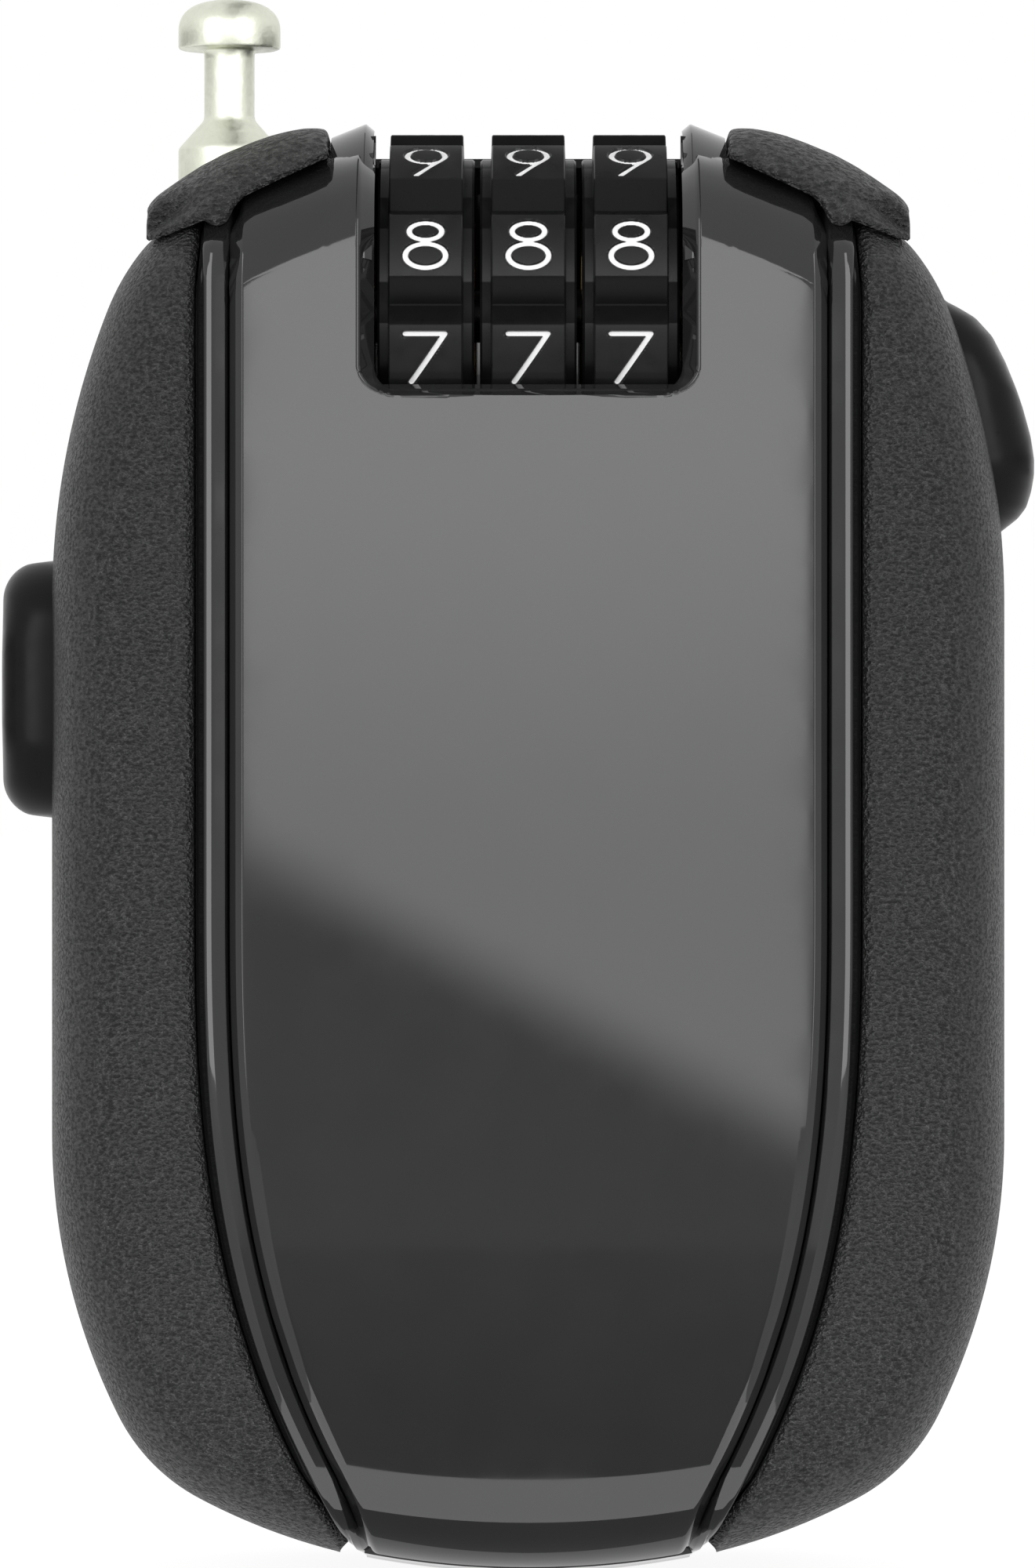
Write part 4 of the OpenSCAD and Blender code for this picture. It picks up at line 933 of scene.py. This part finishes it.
def button(name, crest, middle, length, root, side, power, material, stem):
    """Soft button: a stadium seen from the side, whose height is the crest's height times a superellipse of
    the distance from its middle, (1 - rho^p)^(1/p), so that the crest itself is the silhouette. The stem is
    the lowest and highest corner of a block that joins it.
    """
    def shape(t):
        return unit(1 - unit(t) ** power) ** (1 / power)

    rim = round_box(BUTTON_HALF, length / 2, BUTTON_HALF - 0.01, steps=26)
    rho = np.sin(np.linspace(0, np.pi / 2, 46))[::-1] ** 0.9
    place = rho[:, None, None] * rim[None]
    z = place[..., 1] + middle
    high = smooth_line(crest[:, ::-1], z, 0.2) - root
    centre = np.clip(shape(np.abs(z - middle) / (length / 2)), 0.25, 1)
    x = root + high * np.minimum(shape(rho[:, None]) / centre, 1.0)
    dome = np.dstack([x, place[..., 0], z])
    sunk = np.dstack([np.full(len(rim), root - 0.5), rim[:, 0], rim[:, 1] + middle])
    loops = np.concatenate([sunk, dome]) * np.array([side, 1, 1])
    return join([loft(name, loops, material, 35), block(*stem, material)])


RELEASE_CREST = np.array([
    [24.6, 54.4], [24.95, 54.7], [25.85, 55.4], [26.3, 56.0], [26.55, 56.8], [26.7, 57.7], [26.7, 58.5],
    [26.5, 59.7], [26.15, 61.0], [25.75, 62.2], [25.2, 63.6], [24.5, 65.0], [23.6, 66.0], [22.6, 66.6],
    [22.0, 66.9]])


def release_button(material):
    """Sloping thumb button on the right flank, with the stem that carries the latch."""
    stem = ((RELEASE_X, -3.6, 59.5), (21.6, 2.3, 62.0))
    return button("release_pusher", RELEASE_CREST, RELEASE_Z, 12.6, BUTTON_ROOT, 1, 3.0, material, stem)


def retract_button(material):
    """Flat button on the left flank, with the stem that carries the brake's arm."""
    top, corner_r = -RETRACT_X, 2.05
    turn = np.linspace(0, np.pi / 2, 16)
    beside = np.concatenate([[3.6], corner_r * (1 - np.sin(turn))])
    above = np.concatenate([[6.82], 6.76 - corner_r * (1 - np.cos(turn))])
    crest = np.stack([top - np.concatenate([beside, beside[::-1]]),
                      RETRACT_Z + np.concatenate([-above, above[::-1]])], axis=1)
    stem = ((-21.6, -5.4, 43.4), (-20.4, 3.8, 52.4))
    return button("retract_pusher", crest, RETRACT_Z, 13.66, BUTTON_ROOT, -1, 4.5, material, stem)


# ------------------------------------------------------------------ materials

class Wiring:
    """The nodes of a new material or world, with the few steps that the finishes and the stage share."""

    def __init__(self, owner, empty=False):
        owner.use_nodes = True
        self.owner, self.nodes = owner, owner.node_tree.nodes
        if empty:
            self.nodes.clear()
        self.shader = self.nodes.get("Principled BSDF")

    def put(self, socket, value):
        """Sets a socket to a plain value, or links another node's output to it."""
        if isinstance(value, bpy.types.NodeSocket):
            self.owner.node_tree.links.new(value, socket)
        else:
            socket.default_value = value

    def add(self, kind, output, inputs, **settings):
        """New node with its settings and inputs; returns the output asked for, or else the node."""
        node = self.nodes.new("ShaderNode" + kind)
        for name, value in settings.items():
            setattr(node, name, value)
        for name, value in inputs.items():
            self.put(node.inputs[name], value)
        return node if output is None else node.outputs[output]

    def shade(self, **inputs):
        """Gives the shader's inputs their values; an underscore stands for a space."""
        for name, value in inputs.items():
            self.put(self.shader.inputs[name.replace("_", " ")], value)

    def noise(self, scale, detail, roughness=0.5, stretch=(1, 1, 1)):
        """Noise on the object's own coordinates, with a scale per metre."""
        place = self.add("TexCoord", "Object", {})
        scaled = self.add("Mapping", "Vector", {"Vector": place, "Scale": stretch})
        return self.add("TexNoise", "Fac", {
            "Vector": scaled, "Scale": scale, "Detail": detail, "Roughness": roughness})

    def span(self, value, low, high, to_low, to_high):
        """Maps a value from one range to another, clamped."""
        return self.add("MapRange", "Result", {
            "Value": value, "From Min": low, "From Max": high, "To Min": to_low, "To Max": to_high})

    def bump(self, height, strength, distance, **before):
        """Bump from a height, on top of an earlier bump where one is given as Normal."""
        return self.add("Bump", "Normal", {
            "Height": height, "Strength": strength, "Distance": distance, **before})

    def mix(self, factor, first, second):
        """Mix of two colours by a factor."""
        return self.add("Mix", "Result", {"Factor": factor, "A": first, "B": second}, data_type="RGBA")

    def tint(self, factor, colour, low, high):
        """Mix of two shades of one colour, by a factor."""
        return self.mix(factor, *((*(share * v for v in colour), 1) for share in (low, high)))


def new_finish(name, empty=False):
    """Wiring of a new material."""
    return Wiring(bpy.data.materials.new(name), empty)


def gloss_black(name):
    """Polished black plastic with a faint unevenness of the moulding."""
    made = new_finish(name)
    faint = made.noise(260, 3)
    made.shade(Base_Color=made.tint(faint, sizes().gloss_colour, 1, 1.5),
               Roughness=made.span(faint, 0.3, 0.7, 0.02, 0.05), IOR=1.5)
    return made.owner


def grain_black(name, scale, depth):
    """Black plastic with a fine leathery grain, duller in the low places of its grain, and darker and less
    reflective there as a painted shade.
    """
    made = new_finish(name)
    wrinkle = made.noise(scale, 2, 0.55, (0.8, 1.0, 1.3))
    # painted shade: colour and reflection fall in the low places of the grain; the duller roughness there is
    # real
    made.shade(Normal=made.bump(wrinkle, sizes().grain, depth),
               Base_Color=made.tint(made.span(wrinkle, 0.35, 0.65, 0, 1), sizes().grain_colour, 0.7, 1.3),
               Roughness=made.span(wrinkle, 0.35, 0.65, 0.55, 0.4),
               Specular_IOR_Level=made.span(wrinkle, 0.35, 0.65, 0.3, 0.7))
    return made.owner


def satin_black(name, shine, paint=False):
    """Smooth satin black plastic. On the dials the attribute "stroke" paints the floors of the numbers, and
    a second attribute paints shade into the gaps between the plates by lowering their reflection.
    """
    made = new_finish(name)
    s = sizes()
    faint = made.noise(900, 3)
    base = made.tint(faint, s.satin_colour, 1, 1.4)
    made.shade(Specular_IOR_Level=shine)
    if paint:
        stroke = made.add("Attribute", "Fac", {}, attribute_name="stroke")
        base = made.mix(made.span(stroke, -0.03, -0.05, 0, 1), base, (*s.number_colour, 1))
        # painted shade: the gaps between the plates reflect less, as if shadowed by the plates beside them
        valley_shade = made.add("Attribute", "Fac", {}, attribute_name="valley_shade")
        made.shade(Specular_IOR_Level=made.span(valley_shade, 0, 1, shine, 0.2 * shine))
    made.shade(Base_Color=base, Roughness=made.span(faint, 0.3, 0.7, 0.26, 0.34))
    return made.owner


def metal(name, colour, rough, grain, stretch, hammer=0.0):
    """Bare or plated metal with fine marks along one direction and, where asked, a hammered waviness."""
    made = new_finish(name)
    marks = made.noise(grain, 4, 0.6, stretch)
    normal = made.bump(marks, 0.25, 0.00002)
    if hammer:
        normal = made.bump(made.noise(2200, 3), hammer, 0.0001, Normal=normal)
    made.shade(Metallic=1.0, Base_Color=made.tint(marks, colour, 1, 0.86),
               Roughness=made.span(marks, 0.3, 0.7, rough - 0.06, rough + 0.08), Normal=normal)
    return made.owner


def nickel(name):
    """Bright plating over a faintly uneven turned surface."""
    return metal(name, sizes().nickel_colour, 0.37, 2600, (1, 1, 0.5), 0.25)


def nylon(name):
    """Natural nylon, slightly clouded."""
    made = new_finish(name)
    speckle = made.mix(made.noise(300, 3), (0.78, 0.77, 0.72, 1), (0.66, 0.65, 0.6, 1))
    made.shade(Base_Color=speckle, Roughness=0.45)
    return made.owner


FINISHES = {
    "polished_black": (gloss_black,),
    "grained_black": (grain_black, 4600.0, 0.0006),
    "coarse_black": (grain_black, 3300.0, 0.00095),
    "soft_black": (satin_black, 0.1),
    "painted_dial": (satin_black, 0.26, True),
    "bright_nickel": (nickel,),
    "drawn_steel": (metal, (0.62, 0.63, 0.65), 0.3, 1800, (1, 1, 6)),
    "turned_brass": (metal, (0.78, 0.58, 0.28), 0.28, 1800, (6, 1, 1)),
    "natural_nylon": (nylon,),
}


def finish(name):
    """The material of this name, made at first use."""
    maker, *numbers = FINISHES[name]
    return bpy.data.materials.get(name) or maker(name, *numbers)


# ------------------------------------------------------------------ stage, in metres

CARD_Y = -0.312
CARD_HALF = 0.0145
CARD_TOP = 0.094
DIAGONAL = ((-25.0, 35.9), (23.1, 11.2))  # (x, z) in millimetres of two points on the front card's lower edge
RING_R = 0.4
OVER_FLOOR = 0.0006
LEVEL_HALF = 0.03
FLAG_END, FOOT_CARD_END, FOOT_FLAG_END = -0.072, -0.0138, -0.0098
FLOOR_HALF = 6
CAMERA_AT = (-0.00056, -0.435, 0.0414)
CAMERA_LENS, CAMERA_SENSOR = 189.1, 36


class StageSizes(bpy.types.PropertyGroup):
    """Strengths of the lights round the lock."""

    card: bpy.props.FloatProperty(
        name="Front card", description="Radiance of the card that the panel mirrors",
        default=4.7, min=0.0, max=20.0)
    upper: bpy.props.FloatProperty(
        name="Upper card", description="Radiance of the card that the dials mirror",
        default=3.6, min=0.0, max=20.0)
    sides: bpy.props.FloatProperty(
        name="Side lights", description="Radiance of the soft lights at both sides",
        default=5.0, min=0.0, max=20.0)
    floor_card: bpy.props.FloatProperty(
        name="Floor card", description="Radiance of the card in front of the foot",
        default=2.6, min=0.0, max=20.0)
    flags: bpy.props.FloatProperty(
        name="Side flags", description="Radiance of the dim cards at the sides",
        default=0.4, min=0.0, max=1.0)
    walls: bpy.props.FloatProperty(
        name="Side walls", description="Radiance of the plain cards beside the flags",
        default=1.05, min=0.0, max=5.0)
    top_flag: bpy.props.FloatProperty(
        name="Top flag", description="Radiance of the dark card over the dials",
        default=0.12, min=0.0, max=1.0)
    world: bpy.props.FloatProperty(
        name="Surroundings", description="Strength of the white surroundings on rough surfaces",
        default=0.55, min=0.0, max=2.0)


def by_ray(wiring, seen, unseen):
    """A value that is one number for camera, glossy and transmission rays and another for the rest."""
    paths = (wiring.add("LightPath", f"Is {kind} Ray", {}) for kind in ("Camera", "Glossy", "Transmission"))
    any_path = next(paths)
    for path in paths:
        any_path = wiring.add("Math", 0, {0: any_path, 1: path}, operation="MAXIMUM")
    return wiring.span(any_path, 0, 1, unseen, seen)


def sheet(name, corners, material):
    """Flat face through its corners."""
    mesh = bpy.data.meshes.new(name)
    mesh.from_pydata([tuple(c) for c in corners], [], [tuple(range(len(corners)))])
    mesh.materials.append(material)
    obj = bpy.data.objects.new(name, mesh)
    bpy.context.scene.collection.objects.link(obj)
    return obj


def upright(x0, x1, z0, z1):
    """Corners of an upright card in the plane of the front cards."""
    return [(x0, CARD_Y, z0), (x1, CARD_Y, z0), (x1, CARD_Y, z1), (x0, CARD_Y, z1)]


def level(half, y0, y1, z):
    """Corners of a level card, as wide on both sides of the middle."""
    return [(-half, y0, z), (half, y0, z), (half, y1, z), (-half, y1, z)]


def card(name, corners, strength, edges=(), rest=0.0, only_mirrored=False):
    """Glowing card that the camera doesn't see. Each edge is (direction, place, softness, low): the glow's
    share rises from low to 1 with a smooth step as a point's distance along the direction passes the place.
    The glow goes from the rest level at share 0 to the strength at share 1.
    """
    wiring = new_finish(name, empty=True)
    share = None
    for direction, place, softness, low in edges:
        where = wiring.add("TexCoord", "Object", {})
        along = wiring.add("VectorMath", "Value", {0: where, 1: direction}, operation="DOT_PRODUCT")
        step = wiring.add("MapRange", "Result", {
            "Value": along, "From Min": place - softness, "From Max": place + softness, "To Min": low},
            interpolation_type="SMOOTHSTEP")
        share = step if share is None else wiring.add("Math", 0, {0: share, 1: step}, operation="MULTIPLY")
    glow = wiring.add("Emission", 0, {
        "Strength": strength if share is None else wiring.span(share, 0, 1, rest, strength)})
    wiring.add("OutputMaterial", None, {"Surface": glow})
    obj = sheet(name, corners, wiring.owner)
    obj.visible_camera = False
    obj.visible_shadow = False
    obj.visible_diffuse = not only_mirrored


def lay_floor():
    """White floor: it glows white for the camera and for mirrors, and takes light and shadow faintly."""
    wiring = new_finish("white_floor", empty=True)
    diffuse = wiring.add("BsdfDiffuse", 0, {"Color": (0.2, 0.2, 0.2, 1)})
    glow = wiring.add("Emission", 0, {"Strength": by_ray(wiring, 0.92, 0.3)})
    wiring.add("OutputMaterial", None, {"Surface": wiring.add("AddShader", 0, {0: diffuse, 1: glow})})
    sheet("floor", level(FLOOR_HALF, -FLOOR_HALF, FLOOR_HALF, 0), wiring.owner)


def hang_cards():
    """Cards in front: the panel mirrors a bright one whose lower edge is a diagonal, and the dials an upper
    one. Dim flags and plain walls stand in a ring at both sides, and level cards lie in front of the foot
    and above.
    """
    s = bpy.context.scene.stage_sizes
    start, end = np.array(DIAGONAL)
    slope = end - start
    up = np.array([-slope[1], slope[0]]) / np.linalg.norm(slope)
    place = float(up @ start) * MM
    card("front_card", upright(-0.025, 0.025, 0.0, CARD_TOP), s.card,
         [((up[0], 0, up[1]), place, 0.004, 0.0), ((0, 0, 1), 0.052, 0.022, 0.7)], 0.76)
    for side in (-1, 1):
        card("panel_card", upright(side * CARD_HALF, side * LEVEL_HALF, CARD_TOP, 0.45), s.card,
             [((0, 0, -1), -0.26, 0.166, 0.0)], 0.9)
    card("floor_flag", level(LEVEL_HALF, CARD_Y, FLAG_END, OVER_FLOOR), 0.58, [((0, -1, 0), 0.19, 0.1, 0.72)],
         only_mirrored=True)
    for side in (-1, 1):
        for name, first, last, top, strength in (
                ("side_card", 27, 46, 0.35, s.sides), ("side_wall", 46, 76, 0.35, s.walls),
                ("side_flag", 76, 136, 0.1, s.flags)):
            near, far = (
                (side * math.sin(a) * RING_R, -math.cos(a) * RING_R) for a in np.radians((first, last)))
            card(name, [(*near, 0.001), (*far, 0.001), (*far, top), (*near, top)], strength,
                 only_mirrored=name != "side_card")
    card("top_flag", level(0.014, -0.2, 0.15, 0.2), 0.95, [((0, -1, 0), 0.14, 0.055, 0.0)], s.top_flag, True)
    card("upper_card", upright(-CARD_HALF, CARD_HALF, 0.14, 0.34), s.upper,
         [((0, 0, -1), -0.24, 0.09, 0.0)], 0.9)
    for name, first, last, strength in (
            ("foot_card", FLAG_END, FOOT_CARD_END, s.floor_card),
            ("foot_flag", FOOT_CARD_END, FOOT_FLAG_END, s.flags)):
        card(name, level(LEVEL_HALF, first, last, OVER_FLOOR), strength, only_mirrored=True)


def build_stage():
    """White surroundings and floor, the cards and the camera."""
    scene = bpy.context.scene
    scene.view_settings.view_transform = "Standard"
    scene.world = bpy.data.worlds.new("surroundings")
    wiring = Wiring(scene.world)
    background = wiring.nodes["Background"]
    wiring.put(background.inputs["Strength"], by_ray(wiring, 1.0, scene.stage_sizes.world))
    wiring.put(background.inputs["Color"], (1, 1, 1, 1))
    lay_floor()
    hang_cards()
    camera = bpy.data.objects.new("camera", bpy.data.cameras.new("camera"))
    camera.data.lens = CAMERA_LENS
    camera.data.sensor_width = CAMERA_SENSOR
    camera.location = CAMERA_AT
    camera.rotation_euler = (math.pi / 2, 0, 0)
    scene.collection.objects.link(camera)
    scene.camera = camera


# ------------------------------------------------------------------ operators

class LOCK_OT_cheeks(bpy.types.Operator):
    """Builds the two textured cheeks"""

    bl_idname = "lock.cheeks"
    bl_label = "Cheeks"

    def execute(self, context):
        for side, node in ((-1, "left_cheek"), (1, "right_cheek")):
            settle(cheek(side, finish("grained_black")), "case", "grain_black", node)
        return {"FINISHED"}


class LOCK_OT_caps(bpy.types.Operator):
    """Builds the two shoulder caps"""

    bl_idname = "lock.caps"
    bl_label = "Shoulder caps"

    def execute(self, context):
        for side, node in ((-1, "left_shoulder_cap"), (1, "right_shoulder_cap")):
            settle(shoulder_cap(side, finish("coarse_black")), "case", "grain_black", node)
        return {"FINISHED"}


class LOCK_OT_housings(bpy.types.Operator):
    """Builds the front and rear halves of the spine and the dial chamber"""

    bl_idname = "lock.housings"
    bl_label = "Housings"

    def execute(self, context):
        gloss = finish("polished_black")
        settle(housing(False, gloss), "case", "gloss_black", "front_housing")
        settle(housing(True, gloss), "case", "gloss_black", "rear_housing")
        settle(chamber(gloss), "case", "gloss_black", "rear_housing")
        return {"FINISHED"}


class LOCK_OT_panel(bpy.types.Operator):
    """Builds the glossy front panel"""

    bl_idname = "lock.panel"
    bl_label = "Front panel"

    def execute(self, context):
        settle(panel(finish("polished_black")), "case", "gloss_black", "front_panel")
        return {"FINISHED"}


class LOCK_OT_dials(bpy.types.Operator):
    """Builds the three number dials"""

    bl_idname = "lock.dials"
    bl_label = "Number dials"

    def execute(self, context):
        for index, body in enumerate(("dial_left", "dial_middle", "dial_right")):
            settle(dial(index, finish("painted_dial")), body, "satin_black", f"dial_{index + 1}")
        return {"FINISHED"}


class LOCK_OT_pin(bpy.types.Operator):
    """Builds the locking pin with its ferrule"""

    bl_idname = "lock.pin"
    bl_label = "Locking pin"

    def execute(self, context):
        settle(locking_pin(finish("bright_nickel")), "cable_end", "nickel", "locking_pin")
        return {"FINISHED"}


class LOCK_OT_cable(bpy.types.Operator):
    """Builds the steel cable between the reel and the ferrule"""

    bl_idname = "lock.cable"
    bl_label = "Cable"

    def execute(self, context):
        piece = cable(finish("drawn_steel"))
        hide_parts("cable_lead")
        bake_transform(piece)
        return {"FINISHED"}


class LOCK_OT_buttons(bpy.types.Operator):
    """Builds the release and retract buttons"""

    bl_idname = "lock.buttons"
    bl_label = "Buttons"

    def execute(self, context):
        soft = finish("soft_black")
        settle(release_button(soft), "release", "satin_black", "release_button")
        settle(retract_button(soft), "retract", "satin_black", "retract_button")
        return {"FINISHED"}


class LOCK_OT_works(bpy.types.Operator):
    """Finishes the inner works: sleeves, spindle, latch, springs, brake and reel"""

    bl_idname = "lock.works"
    bl_label = "Inner works"

    def execute(self, context):
        for node, obj in NODES.items():
            if obj.hide_render:
                continue
            name = "drawn_steel"
            if "sleeve" in node and "code" in node or "bush" in node:
                name = "turned_brass"
            elif node in ("reel_drum", "reel_cover", "latch_slider"):
                name = "natural_nylon"
            elif node == "chamber_plate" or "spindle" in node:
                name = "soft_black"
            obj.data.materials.clear()
            obj.data.materials.append(finish(name))
        return {"FINISHED"}


class LOCK_OT_stage(bpy.types.Operator):
    """Builds the surroundings, the lights and the camera"""

    bl_idname = "lock.stage"
    bl_label = "Stage"

    def execute(self, context):
        build_stage()
        return {"FINISHED"}


OPERATORS = (LOCK_OT_cheeks, LOCK_OT_caps, LOCK_OT_housings, LOCK_OT_panel, LOCK_OT_dials, LOCK_OT_pin,
             LOCK_OT_cable, LOCK_OT_buttons, LOCK_OT_works, LOCK_OT_stage)


class LOCK_PT_sidebar(bpy.types.Panel):
    """Lists the lock's pieces and sizes in the sidebar."""

    bl_idname = "LOCK_PT_sidebar"
    bl_label = "Cable Lock"
    bl_space_type = "VIEW_3D"
    bl_region_type = "UI"
    bl_category = "Cable Lock"

    def draw(self, context):
        for operator in OPERATORS:
            self.layout.operator(operator.bl_idname)
        for group in (context.scene.lock_sizes, context.scene.stage_sizes):
            box = self.layout.box()
            for name in group.__annotations__:
                box.prop(group, name)


def register():
    """Registers the classes and hangs the sizes on the scene."""
    for kind in (LockSizes, StageSizes, *OPERATORS, LOCK_PT_sidebar):
        bpy.utils.register_class(kind)
    bpy.types.Scene.lock_sizes = bpy.props.PointerProperty(type=LockSizes)
    bpy.types.Scene.stage_sizes = bpy.props.PointerProperty(type=StageSizes)


def unregister():
    """Takes the sizes and the classes away again."""
    del bpy.types.Scene.stage_sizes
    del bpy.types.Scene.lock_sizes
    for kind in (LOCK_PT_sidebar, *reversed(OPERATORS), StageSizes, LockSizes):
        bpy.utils.unregister_class(kind)


def main():
    """Builds every piece and the stage."""
    register()
    bpy.ops.lock.cheeks()
    bpy.ops.lock.caps()
    bpy.ops.lock.housings()
    bpy.ops.lock.panel()
    bpy.ops.lock.dials()
    bpy.ops.lock.pin()
    bpy.ops.lock.cable()
    bpy.ops.lock.buttons()
    bpy.ops.lock.works()
    bpy.ops.lock.stage()


if __name__ == "__main__":
    main()
